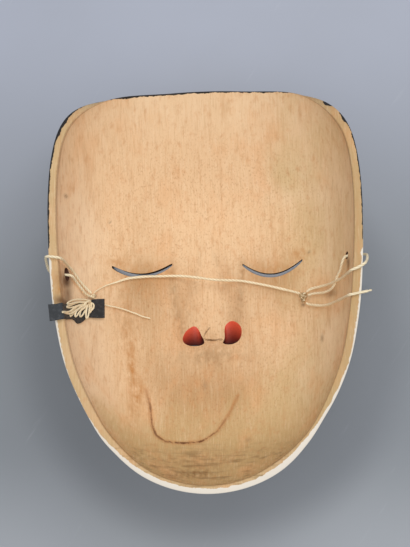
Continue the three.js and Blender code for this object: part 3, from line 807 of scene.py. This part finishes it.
def make_bare_wood():
    """Bare carved wood: pale, straight-grained and soft, cut with a gouge and rubbed down, dry and matt.

    Long fibres and small dark pores lie along the grain. They are drawn wider than real ones, which would be
    too fine to see. The wood is khaki to the chin, and brown by the cuts and along the scored line. Painted
    shade darkens it to the chin, in its dips, along the nose's trough and under the nostrils, and as a line
    along the rim's inner corner; painted light pales the wall below the rim. The face's paint laps raggedly
    over the rim's outer corner.
    """
    material, tree, shader = new_material("bare_carved_wood", Roughness=0.82, IOR=1.45)
    place = mask_millimetres(tree)
    fibres = pattern(tree, place, (0.6, 9, 6), 3, 0.6)
    pores = blots(tree, place, (0.75, 1.15, 0.95), 0.5, 0.75, 0.42)
    patches = pattern(tree, place, (13, 21, 16), 3)
    mottled = blots(tree, place, (2.4, 3.6, 3), 0.25, 0.7)
    sooty = blots(tree, place, (15, 1.5, 5), 0.45, 0.75, 0.6)
    bristle = pattern(tree, place, (1.3, 1.3, 1.3), 4, 0.65)
    frayed = pattern(tree, place, (4, 4, 4), 6, 0.7)
    # The tone field holds painted light along the wall below the rim and painted shade towards the chin,
    # besides the wood's own tone.
    light = field_plus(tree, "tone", patches, 0.4)
    yellow = field_plus(tree, "khaki", patches, -0.6)
    lit, pale, khaki, dark_fibre, light_fibre = (
        add_node(tree, "ShaderNodeMapRange", SOFT_RANGE, {0: value, 1: low, 2: high, 4: most}).outputs[0]
        for value, low, high, most in (
            (light, 0, 1, 1), (light, 0.95, 1.5, 1), (yellow, 0, 0.8, 0.62), (fibres, 0.5, 0.75, 0.24),
            (fibres, 0.5, 0.25, 0.24),
        )
    )
    wood = coats(
        tree, "#b0885a", (lit, "#e9c59b"), (pale, "#f5d8b4"), (khaki, "#cab27e"),
        (blots(tree, place, (15, 24, 18), 0.48, 0.72, 0.4), "#e2aa76"),
        (blots(tree, place, (2.6, 5, 3), 0.5, 0.8, 0.45), "#c98f5c"),
        (blots(tree, place, (2.6, 40, 12), 0.52, 0.75, 0.3), "#c48e5b"),
        (dark_fibre, "#a8763f"), (light_fibre, "#f7dfbd"), (field_times(tree, "pitted", pores), "#a46a36"),
    )
    used = coats(
        tree, wood, (field_times(tree, "ochre", mottled), "#bb7f40"),
        # Painted shade in the hollow's dips, beside its trough and under the nostrils, and darker cut marks
        # by the chin.
        (field_times(tree, "grimy", mottled), "#8f6a41"), (field_times(tree, "stain", 1), "#49270c"),
        (ragged(tree, "off_score", 0.9, 0.8, bristle, 0.7, 0.45), "#b0713a"),
        (field_times(tree, "low_down", sooty), "#7b5f39"),
        (field_times(tree, "score_depth", ragged(tree, "off_score", 0.34, 0.3, frayed, 0.9)), "#694022"),
        (ragged(tree, "off_crease", 0.45, 0.4, bristle, 0.6, 0.95), "#64431f"),
        # Painted shade: a dark line along the rim's inner corner.
        (ragged(tree, "from_inner_corner", 0.3, 0.4, bristle, 0.6, 0.45), "#8f6a40"),
    )
    colour = coats(
        tree, used, (ragged(tree, "past_white", 0, 0.15, frayed, 1.3, 0.9), "#e8e0d3"),
        (ragged(tree, "past_black", 0, 0.12, frayed, 1.3), "#24211f"),
    )
    cover(tree, shader, colour, fibres, 0.12)
    return material


def make_face_paint():
    """Chalk white, lamp black and cinnabar paint, brushed on smooth in many thin coats: a low even sheen."""
    material, tree, shader = new_material("brushed_temple_paint", Roughness=0.42, IOR=1.5)
    place = mask_millimetres(tree)
    edge_sway = pattern(tree, place, (3.5, 3.5, 3.5), 3)
    painted = coats(
        tree, "#ece8df", (blots(tree, place, (24, 24, 24), 0.45, 0.75, 0.5), "#dccfb8"),
        (blots(tree, place, (1.2, 14, 8), 0.55, 0.8, 0.35), "#f7f4ee"),
    )
    for field, soft, hex_colour in (
        ("lips", 0.25, "#b3241c"), ("lash", 0.2, "#1c1918"), ("brow", 0.25, "#1f1b19"),
        ("hair", 0.25, "#211d1b"), ("dot", 0.2, "#c79a3c"),
    ):
        painted = coats(tree, painted, (ragged(tree, field, 0, soft, edge_sway, 0.35), hex_colour))
    worn = field_times(tree, "rubbed", pattern(tree, place, (2.2, 2.2, 2.2), 5, 0.7))
    bare = add_node(tree, "ShaderNodeMapRange", SOFT_RANGE, {"Value": worn, 1: 0.46, 2: 0.56, 4: 0.9})
    colour = coats(tree, painted, (bare.outputs[0], "#b98a5c"))
    cover(tree, shader, colour, pattern(tree, place, (1.2, 14, 8)), 0.03)
    return material


def make_nostril_paint():
    """Cinnabar red brushed into the nostrils, darkened towards their lower ends with painted shade."""
    material, tree, shader = new_material("cinnabar_paint", Roughness=0.5, IOR=1.5)
    place = mask_millimetres(tree)
    colour = coats(
        tree, "#e2553a", (blots(tree, place, (0.9, 0.9, 3), 0.5, 0.75, 0.5), "#b5301c"),
        # Painted shade deep in the nostrils.
        (field_times(tree, "deep", 1), "#2e0b0a"),
    )
    cover(tree, shader, colour, pattern(tree, place, (0.8, 0.8, 3)), 0.06)
    return material


def make_cut_wood():
    """Raw walls of the eye slits and side holes: dark brown, darker still in the side holes, and reddened by
    a slip of the brush.
    """
    material, tree, shader = new_material("cut_wood", Roughness=0.75, IOR=1.5)
    place = mask_millimetres(tree)
    colour = coats(
        tree, "#6f4a34", (blots(tree, place, (0.5, 3, 0.5), 0.4, 0.7, 0.7), "#46291f"),
        # Darker brown inside the side holes.
        (field_times(tree, "reddened", 1), "#641418"), (field_times(tree, "handled", 1), "#4a2716"),
    )
    cover(tree, shader, colour, pattern(tree, place, (0.5, 3, 0.5)), 0.1)
    return material


def disc(tree, place, middle, far, close, most=1.0):
    """A soft round patch: as strong as most within the close distance, none past the far one, in metres."""
    away = add_node(tree, "ShaderNodeVectorMath", {"operation": "DISTANCE"}, {0: place, 1: middle})
    inputs = {"Value": away.outputs["Value"], 1: far, 2: close, 4: most}
    return add_node(tree, "ShaderNodeMapRange", SOFT_RANGE, inputs).outputs[0]


def make_floor_material():
    """A painted board in pale blue grey, faintly scratched, with painted shade over its lower half, painted
    light at its near side, a painted shadow round the chin and a painted pool of light under the eyes.
    """
    material, tree, shader = new_material("pale_grey_board", Roughness=0.55, IOR=1.5)
    place = add_node(tree, "ShaderNodeTexCoord").outputs["Object"]
    turn = {"Vector": place, "Rotation": (0, 0, math.radians(35))}
    turned = add_node(tree, "ShaderNodeMapping", None, turn).outputs[0]
    across = add_node(tree, "ShaderNodeSeparateXYZ", None, {"Vector": place}).outputs["Y"]
    # Painted shade over the board's lower half, and painted light again at its near side.
    painted_shade_low, painted_light_near = (
        add_node(tree, "ShaderNodeMapRange", SOFT_RANGE, {"Value": across, 1: start, 2: end}).outputs[0]
        for start, end in ((0.13, -0.01), (-0.07, -0.14))
    )
    colour = coats(
        tree, "#a3a8b6", (painted_shade_low, "#80858b"), (painted_light_near, "#a0a4aa"),
        (blots(tree, place, (0.12, 0.12, 0.12), 0.4, 0.7, 0.25, 3), "#92969f"),
        (blots(tree, turned, (0.003, 0.04, 1), 0.66, 0.8, 0.2, 3), "#b9bdc4"),
        # A painted shadow round the mask's chin, and a painted pool of light under the eyes.
        (disc(tree, place, (0, -0.03, 0), 0.107, 0.082, 0.5), "#5f646c"),
        (disc(tree, place, (0, 0.02, 0), 0.08, 0.03), "#bdc0c9"),
    )
    tree.links.new(colour, shader.inputs["Base Color"])
    return material


# The carved shell.


def square_angle(column, row):
    """The direction that a place on a square grid takes when its square rings become round ones."""
    flat = np.abs(column) >= np.abs(row)
    across = np.where(flat & (column != 0), column, 1)
    up = np.where(~flat & (row != 0), row, 1)
    sideways = math.pi / 4 * row / across + np.where(column < 0, math.pi, 0)
    upright = math.pi / 2 - math.pi / 4 * column / up + np.where(row < 0, math.pi, 0)
    return np.where(flat, sideways, upright)


def carve_surface(name, radius_at, depth_at, material):
    """A square grid turned into rings from the middle of the mask out to the rim, and carved to depth."""
    deselect_all()
    bpy.ops.mesh.primitive_grid_add(x_subdivisions=2 * RINGS, y_subdivisions=2 * RINGS, size=2)
    surface = bpy.context.active_object
    surface.name = name
    column, row = points_of(surface)[:, :2].T
    even = np.maximum(np.abs(column), np.abs(row))
    angle = square_angle(column, row)
    share = even + RING_CROWD * even**2 * (1 - even)
    x, y = share * radius_at(angle) * np.cos(angle), share * radius_at(angle) * np.sin(angle)
    move_points(surface, np.stack([x, y, -depth_at(x, y, share, angle)], axis=1))
    surface.data.materials.append(material)
    return surface


def mark_open_border(surface):
    """Selects a surface's open border and marks it as a corner of the rim."""
    make_active(surface)
    bpy.ops.object.mode_set(mode="EDIT")
    bpy.ops.mesh.select_mode(type="EDGE")
    bpy.ops.mesh.select_all(action="DESELECT")
    bpy.ops.mesh.select_non_manifold(extend=False, use_wire=False, use_multi_face=False, use_verts=False)
    bpy.ops.mesh.mark_sharp()


def close_rim(shell, face):
    """Draws the hollow's border out to the face's, joins the two and takes off both sharp corners."""
    mark_open_border(face)
    mark_open_border(shell)
    bpy.ops.mesh.extrude_edges_move()
    bpy.ops.object.mode_set(mode="OBJECT")
    drawn_out = np.zeros(len(shell.data.vertices), dtype=bool)
    shell.data.vertices.foreach_get("select", drawn_out)
    points = points_of(shell)
    angle = np.arctan2(points[drawn_out, 1], points[drawn_out, 0])
    x, y = rim_radius(angle) * np.cos(angle), rim_radius(angle) * np.sin(angle)
    points[drawn_out] = np.stack([x, y, -face_depth(x, y, 1, angle)], axis=1)
    move_points(shell, points)
    make_active(shell)
    face.select_set(True)
    bpy.ops.object.join()
    bpy.ops.object.mode_set(mode="EDIT")
    bpy.ops.mesh.select_mode(type="VERT")
    bpy.ops.mesh.select_all(action="SELECT")
    bpy.ops.mesh.remove_doubles(threshold=SEAM)
    bpy.ops.mesh.normals_make_consistent(inside=False)
    bpy.ops.mesh.select_all(action="DESELECT")
    bpy.ops.mesh.select_mode(type="EDGE")
    bpy.ops.object.mode_set(mode="OBJECT")
    corners = np.zeros(len(shell.data.edges), dtype=bool)
    shell.data.edges.foreach_get("use_edge_sharp", corners)
    shell.data.edges.foreach_set("select", corners)
    bpy.ops.object.mode_set(mode="EDIT")
    bpy.ops.mesh.bevel(offset=ARRIS, segments=2, affect="EDGES")
    bpy.ops.mesh.select_all(action="SELECT")
    bpy.ops.mesh.mark_sharp(clear=True)
    bpy.ops.object.mode_set(mode="OBJECT")


def raise_cutter(cutter, low, high):
    """Stands a flat outline up into a solid between two heights."""
    bpy.ops.object.mode_set(mode="EDIT")
    bpy.ops.mesh.select_all(action="SELECT")
    bpy.ops.transform.translate(value=(0, 0, low))
    bpy.ops.mesh.extrude_region_move(TRANSFORM_OT_translate={"value": (0, 0, high - low)})
    bpy.ops.object.mode_set(mode="OBJECT")


def slit_cutter(slit):
    """The gap under a lowered lid, a thin U that sags to the chin."""
    deselect_all()
    bpy.ops.mesh.primitive_grid_add(x_subdivisions=28, y_subdivisions=1, size=2)
    cutter = bpy.context.active_object
    along, side, _ = points_of(cutter).T
    thin = side * slit["width"] / 2 * (1 - 0.45 * along**8)
    y = slit_height(slit, along) + thin
    move_points(cutter, np.stack([slit["x"] + along * slit["half_width"], y, 0 * y], axis=1))
    raise_cutter(cutter, CUT_FROM_Z, SLIT_CUT_TO_Z)
    x, y, z = points_of(cutter).T
    leaned = y + (math.tan(LYING_TILT) - SLIT_LEAN) * (SLIT_LEVEL_Z - z)
    move_points(cutter, np.stack([x, leaned, z], axis=1))
    return cutter


def smooth_outline(corners, steps):
    """A closed run of points that rounds off an outline's corners."""
    places = []
    for before, start, end, after in stretches(np.array(corners, dtype=float)):
        for t in np.arange(steps) / steps:
            mixed = (1 - t) ** 3 * before + (3 * t**3 - 6 * t**2 + 4) * start
            places.append((mixed + (-3 * t**3 + 3 * t**2 + 3 * t + 1) * end + t**3 * after) / 6)
    return np.array(places)


def nostril_cutter(middle_x, corners):
    """A nostril, wide in the hollow, that leans to the chin as it goes out through the nose's base."""
    outline = smooth_outline(corners, 4) * NOSTRIL_SIZE
    deselect_all()
    bpy.ops.mesh.primitive_circle_add(vertices=len(outline), radius=1, fill_type="NGON")
    cutter = bpy.context.active_object
    move_points(cutter, np.column_stack([outline, np.zeros(len(outline))]))
    raise_cutter(cutter, CUT_FROM_Z, NOSTRIL_CUT_TO_Z)
    x, y, z = points_of(cutter).T
    inside = z > NOSTRIL_LEVEL_Z
    share = np.where(inside, NOSTRIL_SHARE_INSIDE, NOSTRIL_SHARE_OUTSIDE)
    leaned = NOSTRIL_Y + y * share + NOSTRIL_LEAN * (z - NOSTRIL_LEVEL_Z) + 1.2 * inside
    move_points(cutter, np.column_stack([middle_x + x * share, leaned, z]))
    return cutter


def bore_cutter(x, y, z, radius):
    deselect_all()
    turn = (0, math.pi / 2, 0)
    bpy.ops.mesh.primitive_cylinder_add(
        vertices=28, radius=radius, depth=BORE_LENGTH, location=(x, y, z), rotation=turn)
    cutter = bpy.context.active_object
    bpy.ops.object.transform_apply(location=True, rotation=True, scale=True)
    return cutter


def turn_faces_outwards(piece):
    make_active(piece)
    bpy.ops.object.mode_set(mode="EDIT")
    bpy.ops.mesh.select_all(action="SELECT")
    bpy.ops.mesh.normals_make_consistent(inside=False)
    bpy.ops.object.mode_set(mode="OBJECT")


def cut_away(shell, cutter, material):
    """Takes a cutter out of the wood, and leaves the cut walls in a material of their own."""
    turn_faces_outwards(cutter)
    cutter.data.materials.append(material)
    make_active(shell)
    cut = shell.modifiers.new("cut", "BOOLEAN")
    cut.operation = "DIFFERENCE"
    cut.object = cutter
    cut.solver = "MANIFOLD"
    cut.material_mode = "TRANSFER"
    bpy.ops.object.modifier_apply(modifier=cut.name)
    bpy.data.objects.remove(cutter)


def store_face_fields(shell, x, y):
    """Distances from the painted features of the face, in millimetres, less than 0 where they are."""
    side = beside_eye(x)
    brow_middle = BROW_Y + 3.2 - 4.5 * (np.abs(side + 2) / 20) ** 2
    brow_half = 2.3 * np.clip(1 - (np.abs(side + 2) / 20.5) ** 2.2, 0, 1) ** 0.6 - 0.4
    lash_half = 0.75 * np.clip(1 - (side / 16.5) ** 2, 0, 1) ** 0.5 - 0.3
    above = y - lips_parting(x)
    top = 5.6 * np.clip(1 - (np.abs(x) / 19.5) ** 1.8, 0, 1) - 1.2 * bell(x, 2.5)
    bottom = -8 * np.clip(1 - (np.abs(x) / 17.5) ** 2, 0, 1) ** 0.8
    store_fields(
        shell,
        brow=np.abs(y - brow_middle) - brow_half,
        lash=np.abs(y - lash_height(x) + 0.2) - lash_half,
        lips=np.maximum(above - top, bottom - above) + 0.3 * (np.abs(x) > 19.5),
        hair=0.3 - past_hairline(x, y),
        dot=np.hypot(x, y - 38) - 2.2,
    )


def dip(x, y, reach):
    """How much deeper the hollow is at a place than close round it, in millimetres."""
    steps = ((reach, 0), (-reach, 0), (0, reach), (0, -reach))
    around = sum(hollow_features(x + aside, y + up) for aside, up in steps)
    return hollow_features(x, y) - around / 4


def store_paint_edges(shell, x, y, z):
    """How far a place on the rim is from its inner corner and past the paint that laps over its outer one."""
    angle = np.arctan2(y, x)
    radius = np.hypot(x, y)
    top = crown(angle)
    from_outer = np.hypot(np.maximum(0, rim_radius(angle) - radius), np.minimum(0, z + FACE_DROP * top))
    from_inner = np.hypot(np.maximum(0, radius - hollow_radius(angle)), np.maximum(0, z + HOLLOW_DROP * top))
    low = rise(y, 23, 15)
    on_sides = 0.8 * rise(y, -45, -15) + 2.3 * rise(y, -50, -86) + rise(x, 15, 45) * rise(y, -25, -50)
    white_reach = -2.5 + low * (2.6 + on_sides)
    black_reach = -2.5 + (1 - low) * (3.4 - 0.3 * rise(x, -30, 30) + uneven(angle, BLACK_PATCHES))
    store_fields(
        shell,
        from_inner_corner=from_inner + 3 * (radius < hollow_radius(angle) - 0.3),
        past_white=from_outer - white_reach,
        past_black=from_outer - black_reach,
    )


# Dark stains in the hollow, each its middle, its two reaches and its strength.
STAINS = (
    (-65.3, 7.4, 1.6, 4.4, 0.95), (-64.8, 1, 1.5, 8, 0.62), (-66, -3.2, 3.4, 2.4, 0.85),
    (65.4, 12.9, 0.7, 2.6, 0.6), (57.6, 0.5, 2.4, 1.8, 0.35), (44.2, -2.6, 0.8, 0.8, 0.7),
    (-65.6, 48.1, 0.6, 0.7, 0.7), (-48, 40.2, 0.6, 0.6, 0.5), (47.7, 22.5, 0.6, 0.6, 0.55),
    (52.6, -19.9, 0.6, 1.8, 0.5), (16.5, -66.7, 1.4, 1.1, 0.3), (-3.9, -39.2, 1.2, 2.4, 0.25),
)


def tones(x, y, share):
    """How light and how yellow the wood of the hollow is drawn: its own patchy tone, with painted light
    paling the wall below the rim and painted shade darkening it towards the chin.
    """
    on_rim = np.hypot(x, y) > hollow_radius(np.arctan2(y, x)) + 0.1
    # Painted light: the wall below the rim is drawn paler. Painted shade: the wood darkens towards the chin.
    painted_light_by_rim = rise(share, 0.5, 0.95) * (0.45 + 0.55 * rise(y, 75, 30)) * rise(y, -72, -45)
    tone = 0.6 + 0.55 * painted_light_by_rim - 0.56 * rise(y, -42, -88) + bumps(
        x, y, (5, 32, 50, 40, 0.14), (-4, -46, 36, 20, -0.52), (-26, -6, 16, 24, -0.16),
        (34, 58, 22, 18, 0.26), (44, -36, 14, 22, 0.25),
    )
    tone = tone + bumps(np.abs(x), y, (33, 4, 17, 32, -0.2), (30, 12, 16, 9, -0.34))
    khaki = 0.6 * rise(x, 0, 50) + 0.95 * rise(y, -14, -76)
    khaki = khaki + bumps(x, y, (52, 30, 22, 40, 0.2), (37, 60, 11, 9, 0.35), (-6, 40, 14, 12, 0.25))
    return np.where(on_rim, 0.3 - 0.25 * rise(x, 10, 60), tone), np.where(on_rim, 0.7, khaki)


def painted_shade_and_cut_darkening(x, y, share):
    """How much darker the hollow is drawn: painted shade in its dips, along the edges of the trough and under
    the nose over the mouth, and darker in and round the low row of cuts.
    """
    # Painted shade: darker in the dips, beside the nose's trough and under the nostrils.
    past_trough = np.abs(x + 1.9) - 16.5 + 0.0037 * (y - 21) ** 2
    beside_trough = 0.4 * bell(past_trough - 0.6, 2) * rise(y, 26, 16) * rise(y, -18, -10)
    in_dips = np.clip(dip(x, y, 3) - 0.08, 0, 0.2) * rise(share, 0.94, 0.86)
    shaded = in_dips + beside_trough + bumps(x, y, (0, -25, 17, 5, 0.5), (-42, -6, 6, 10, 0.25))
    low_row = 0.6 * gouge_row(x, y) + bumps(x, y, (-9, -81, 13, 5, 0.4), (0, -74, 30, 5, 0.35))
    return np.maximum(shaded, low_row)


def handling(x, y):
    """Brown from hands and twine: over the slits, by the side holes and the right knot, and in a streak."""
    over_slits = sum(
        bump(x, y, slit["x"], slit["ends"] - 4, 15, 4.5, 0.5) * bell((x - slit["x"]) / 15, 1.1, 6)
        for slit in SLITS
    )
    slit_ends = bumps(x, y, (44, 22, 5, 3.4, 0.6), (-45.5, 20, 4, 3.4, 0.6))
    by_bores = bumps(x, y, (-66.8, 3, 1.4, 9, 0.8), (65.3, 11, 0.9, 5, 0.9))
    by_knot = bumps(x, y, (44.6, -1.6, 2.6, 3, 0.75), (58, 0, 3, 2.4, 0.5))
    streak = bumps(
        x, y, (-39 - 0.08 * (y + 25), -24, 2.6, 28, 0.6), (-38, -30, 1.2, 9, 0.4),
        (-34.6 + 0.2 * (y + 42), -43, 2.6, 12, 0.55),
    )
    return np.clip(over_slits + slit_ends + by_bores + by_knot + streak, 0, 1)


def store_hollow_fields(shell, x, y):
    """Tones with painted light and shade, painted shade in the dips, dirt and stains, as strong as they show
    in the hollow, and distances from its drawn lines.
    """
    share = share_of_hollow(x, y)
    tone, khaki = tones(x, y, share)
    score = 0.55 + bumps(x, y, (-9, -67, 12, 6, 0.45), (-28, -58, 4, 9, 0.25))
    store_fields(
        shell,
        tone=tone,
        khaki=khaki,
        low_down=rise(y, -64, -76),
        pitted=0.3 + 0.7 * rise(share, 0.92, 0.6),
        # Painted shade in the dips and by the trough, and darker cut marks.
        grimy=painted_shade_and_cut_darkening(x, y, share),
        stain=np.maximum.reduce([bump(x, y, *stain) for stain in STAINS]),
        ochre=handling(x, y),
        off_crease=np.minimum(distance_to_line(x, y, CREASE), distance_to_line(x, y, SCRATCH) + 0.25),
        off_score=distance_to_line(x, y, CHIN_LINE),
        score_depth=np.clip(score * rise(y, -38, -52) * (1 - 0.75 * rise(x, 0, 9)), 0, 1),
    )


def make_shell():
    """The carved shell: the face as this maker's own calm one, the hollow as the photograph shows it."""
    bare_wood, face_paint = make_bare_wood(), make_face_paint()
    nostril_paint, cut_wood = make_nostril_paint(), make_cut_wood()
    shell = carve_surface("carved_shell", hollow_radius, marked_hollow_depth, bare_wood)
    face = carve_surface("carved_face", rim_radius, face_depth, face_paint)
    close_rim(shell, face)
    for slit in SLITS:
        cut_away(shell, slit_cutter(slit), cut_wood)
    for middle_x, corners in NOSTRIL_OUTLINES:
        cut_away(shell, nostril_cutter(middle_x, corners), nostril_paint)
    for bore in BORES:
        cut_away(shell, bore_cutter(*bore), cut_wood)
    x, y, z = points_of(shell).T
    store_face_fields(shell, x, y)
    store_hollow_fields(shell, x, y)
    store_paint_edges(shell, x, y, z)
    store_fields(
        shell,
        # Painted shade in the nostrils' lower ends.
        deep=rise(y + z + 60, -13.5, -19),
        reddened=bump(x, y, 42, 17, 6, 6, 1),
        # Darker brown inside the side holes.
        handled=rise(np.abs(x), 55, 62),
        rubbed=0.72 + bump(x, y, 0, NOSE_TIP_Y, 9, 9, 0.4),
    )
    lay(shell)
    rest_on_floor(shell)
    make_active(shell)
    bpy.ops.object.shade_smooth_by_angle(angle=math.radians(45))
    declare(shell, "mask_shell")


def rest_on_floor(shell):
    """Flattens the three places the mask rests on, where the wood would dip under the floor."""
    points = points_of(shell)
    points[:, 2] = np.maximum(points[:, 2], 0)
    move_points(shell, points)


# The strip and the wad.


def make_strip(material):
    """The rubber strip: out over the rim, down the wall and under the wad that pinches it."""
    deselect_all()
    bpy.ops.mesh.primitive_grid_add(x_subdivisions=56, y_subdivisions=14, size=2)
    strip = bpy.context.active_object
    strip.name = "rubber_strip"
    run, across, _ = points_of(strip).T
    x, upper, lower = (np.interp((run + 1) / 2, *STRIP_EDGES[row]) for row in ("x", "upper", "lower"))
    from_lobe = x - STRIP_LOBE_X
    lower = lower - (2.4 - 0.45 * from_lobe) * bell(from_lobe, 1.8, 3)
    y = (upper + lower) / 2 + (upper - lower) / 2 * across
    on_rim = rise(x, -65, -68)
    x = x - 0.35 * across * rise(x, -58, -70)
    fold = 0.35 * np.sin(2.4 * across + 0.8) * rise(x, -66, -60)
    lift = STRIP_LIFT + 0.5 + 0.6 * on_rim + 0.9 * rise(x, -58, -54) + fold
    move_points(strip, seen_over(x, y, lift))
    strip.data.materials.append(material)
    make_active(strip)
    thick = strip.modifiers.new("thickness", "SOLIDIFY")
    thick.thickness = STRIP_THICKNESS
    thick.offset = 0
    bpy.ops.object.modifier_apply(modifier=thick.name)
    soften = strip.modifiers.new("worn_edges", "BEVEL")
    soften.width = 0.2
    soften.segments = 2
    soften.limit_method = "ANGLE"
    bpy.ops.object.modifier_apply(modifier=soften.name)
    lay(strip)
    bpy.ops.object.shade_smooth_by_angle(angle=math.radians(50))
    declare(strip, "black_strip")
    return strip


# The wad's loops, each as the camera sees its middle line on the wall, from the tie to the loop's end.
WAD_LOOPS = (
    ((-56.4, -0.3), (-59.1, 0.1), (-62.2, -0.9), (-65, -3.3)),
    ((-57.1, -0.8), (-61.6, -2.6), (-63.8, -4.2), (-65.2, -5.5)),
    ((-58.2, -2), (-61.3, -3.7), (-63.9, -7), (-65, -8.3)),
    ((-57.8, -1.6), (-60.1, -3.2), (-62.9, -6.5), (-64, -9.3)),
    ((-58, -2), (-60.9, -5), (-62.2, -8.6)),
    ((-57.6, -1.9), (-58.9, -3.8), (-60.4, -8.2)),
    ((-57.4, -1.3), (-57.7, -4.7), (-58.2, -8)),
    ((-56.9, -0.6), (-55.9, -1), (-55.9, -2.6), (-56.6, -4.4)),
    ((-57, -1.2), (-56.6, -2.6), (-57.2, -5.6)),
)
WAD_LIFTS = (4.6, 3.3, 4.2, 3, 4.4, 3.4, 4.6, 4, 3)
WAD_TIE = (-57.4, -1.3)
WAD_TIE_TURNS = 1.8


def hairpin(middle_line, lift, gap):
    """A strand that goes out along a line and comes back beside itself, raised in the middle."""
    line = smooth_path([(x, y, 0) for x, y in middle_line], 0.6)[:, :2]
    ahead = unit(np.gradient(line, axis=0))
    aside = np.stack([-ahead[:, 1], ahead[:, 0]], axis=1)
    along = np.linspace(0, 1, len(line))
    off = (gap * np.minimum(1, 0.35 + 2 * along) * np.sqrt(1 - along**4))[:, None]
    places = np.vstack([line + off * aside, (line - off * aside)[-2::-1]])
    raised = lift * (0.75 + 0.35 * np.sin(math.pi * np.concatenate([along, along[-2::-1]]) ** 0.8))
    return seen_over(places[:, 0], places[:, 1], raised) * MM


def make_wad(material):
    """The wad: loops of string that fan out over the strip from the place where they are tied."""
    rng = np.random.default_rng(11)
    tubes = []
    for middle_line, lift in zip(WAD_LOOPS, WAD_LIFTS):
        swayed = [(x + rng.normal(0, 0.3), y + rng.normal(0, 0.3)) for x, y in middle_line]
        hairpin_path = laid_points(hairpin(swayed, lift, rng.uniform(0.5, 0.72)))
        path = smooth_path(hairpin_path, WAD_RING_GAP * WAD_STRING)
        tubes.append(plied_tube(path, WAD_STRING, CUT_TIP, seed=20 + len(tubes)))
    tie_x, tie_y = WAD_TIE
    turn = np.linspace(0, 2 * math.pi * WAD_TIE_TURNS, 40)
    wrap_x = tie_x + 0.9 * np.cos(turn) - 0.25 * turn / math.pi
    wrap_y = tie_y + 1.5 * np.sin(turn + 0.5) - 0.2 * turn / math.pi
    wrap = laid_points(seen_over(wrap_x, wrap_y, 4 + 1.6 * np.sin(turn)) * MM)
    wrap_path = smooth_path(wrap, WAD_RING_GAP * WAD_STRING)
    tubes.append(plied_tube(wrap_path, WAD_STRING, CUT_TIP, seed=40))
    wad = bundle_piece("looped_string_wad", tubes, material)
    declare(wad, "string_wad")
    return wad


# The room, in metres.
FLOOR_SIZE = 8
LIGHT_AIM = (0, 0, 0.03)
ROOM_LIGHT = 0.4


def make_area_light(name, place, size, power, colour):
    data = bpy.data.lights.new(name, "AREA")
    data.shape = "RECTANGLE"
    data.size, data.size_y = size
    data.energy = power
    data.color = colour
    light = bpy.data.objects.new(name, data)
    bpy.context.scene.collection.objects.link(light)
    light.location = place
    light.rotation_euler = (Vector(LIGHT_AIM) - Vector(place)).to_track_quat("-Z", "Y").to_euler()


def make_studio():
    deselect_all()
    bpy.ops.mesh.primitive_plane_add(size=FLOOR_SIZE, location=(0, 0, 0))
    floor = bpy.context.active_object
    floor.name = "floor"
    bpy.ops.object.mode_set(mode="EDIT")
    bpy.ops.mesh.subdivide(number_cuts=3)
    bpy.ops.object.mode_set(mode="OBJECT")
    floor.data.materials.append(make_floor_material())
    make_area_light("overhead", (0.05, 0.008, 1.6), size=(0.1, 0.1), power=9.2, colour=(1, 0.985, 0.96))
    make_area_light("window", (0.3, 0.75, 1.2), size=(0.9, 0.8), power=7.6, colour=(0.97, 0.98, 1))
    world = bpy.data.worlds.new("room")
    world.use_nodes = True
    background = world.node_tree.nodes["Background"]
    background.inputs["Color"].default_value = (0.93, 0.96, 1, 1)
    background.inputs["Strength"].default_value = ROOM_LIGHT
    bpy.context.scene.world = world
    bpy.context.scene.view_settings.view_transform = "Standard"


make_camera()
twine_material = make_twine_material()
cords = {}
for seed, (node, route, diameter, finish) in enumerate((
    ("tie_cord", TIE_ROUTE, TWINE, {"thin_start": 0.024}),
    ("left_loop", LEFT_LOOP_ROUTE, TWINE, {}),
    ("right_loop", RIGHT_LOOP_ROUTE, TWINE, {}),
    ("right_tail", RIGHT_TAIL_ROUTE, TWINE, {"frayed": True}),
    ("left_tail", LEFT_TAIL_ROUTE, THIN_TWINE, {"thin_start": 0.013}),
), start=2):
    cords[node] = (*make_twine(node, route, diameter, twine_material, seed, **finish), diameter)
left_knot = make_knot("left", LEFT_KNOT, twine_material, seed=7, dirt=0.45)
right_knot = make_knot("right", RIGHT_KNOT, twine_material, seed=8, dirt=0.85)
wad = make_wad(twine_material)
strip = make_strip(make_rubber())

for node, far_end, pieces in (
    ("tie_cord", "knot", [right_knot]),
    ("left_loop", "knot", [left_knot, wad, strip]),
    ("right_loop", "object", []),
    ("right_tail", "bare", []),
    ("left_tail", "bare", []),
):
    piece, path, diameter = cords[node]

make_shell()
make_studio()
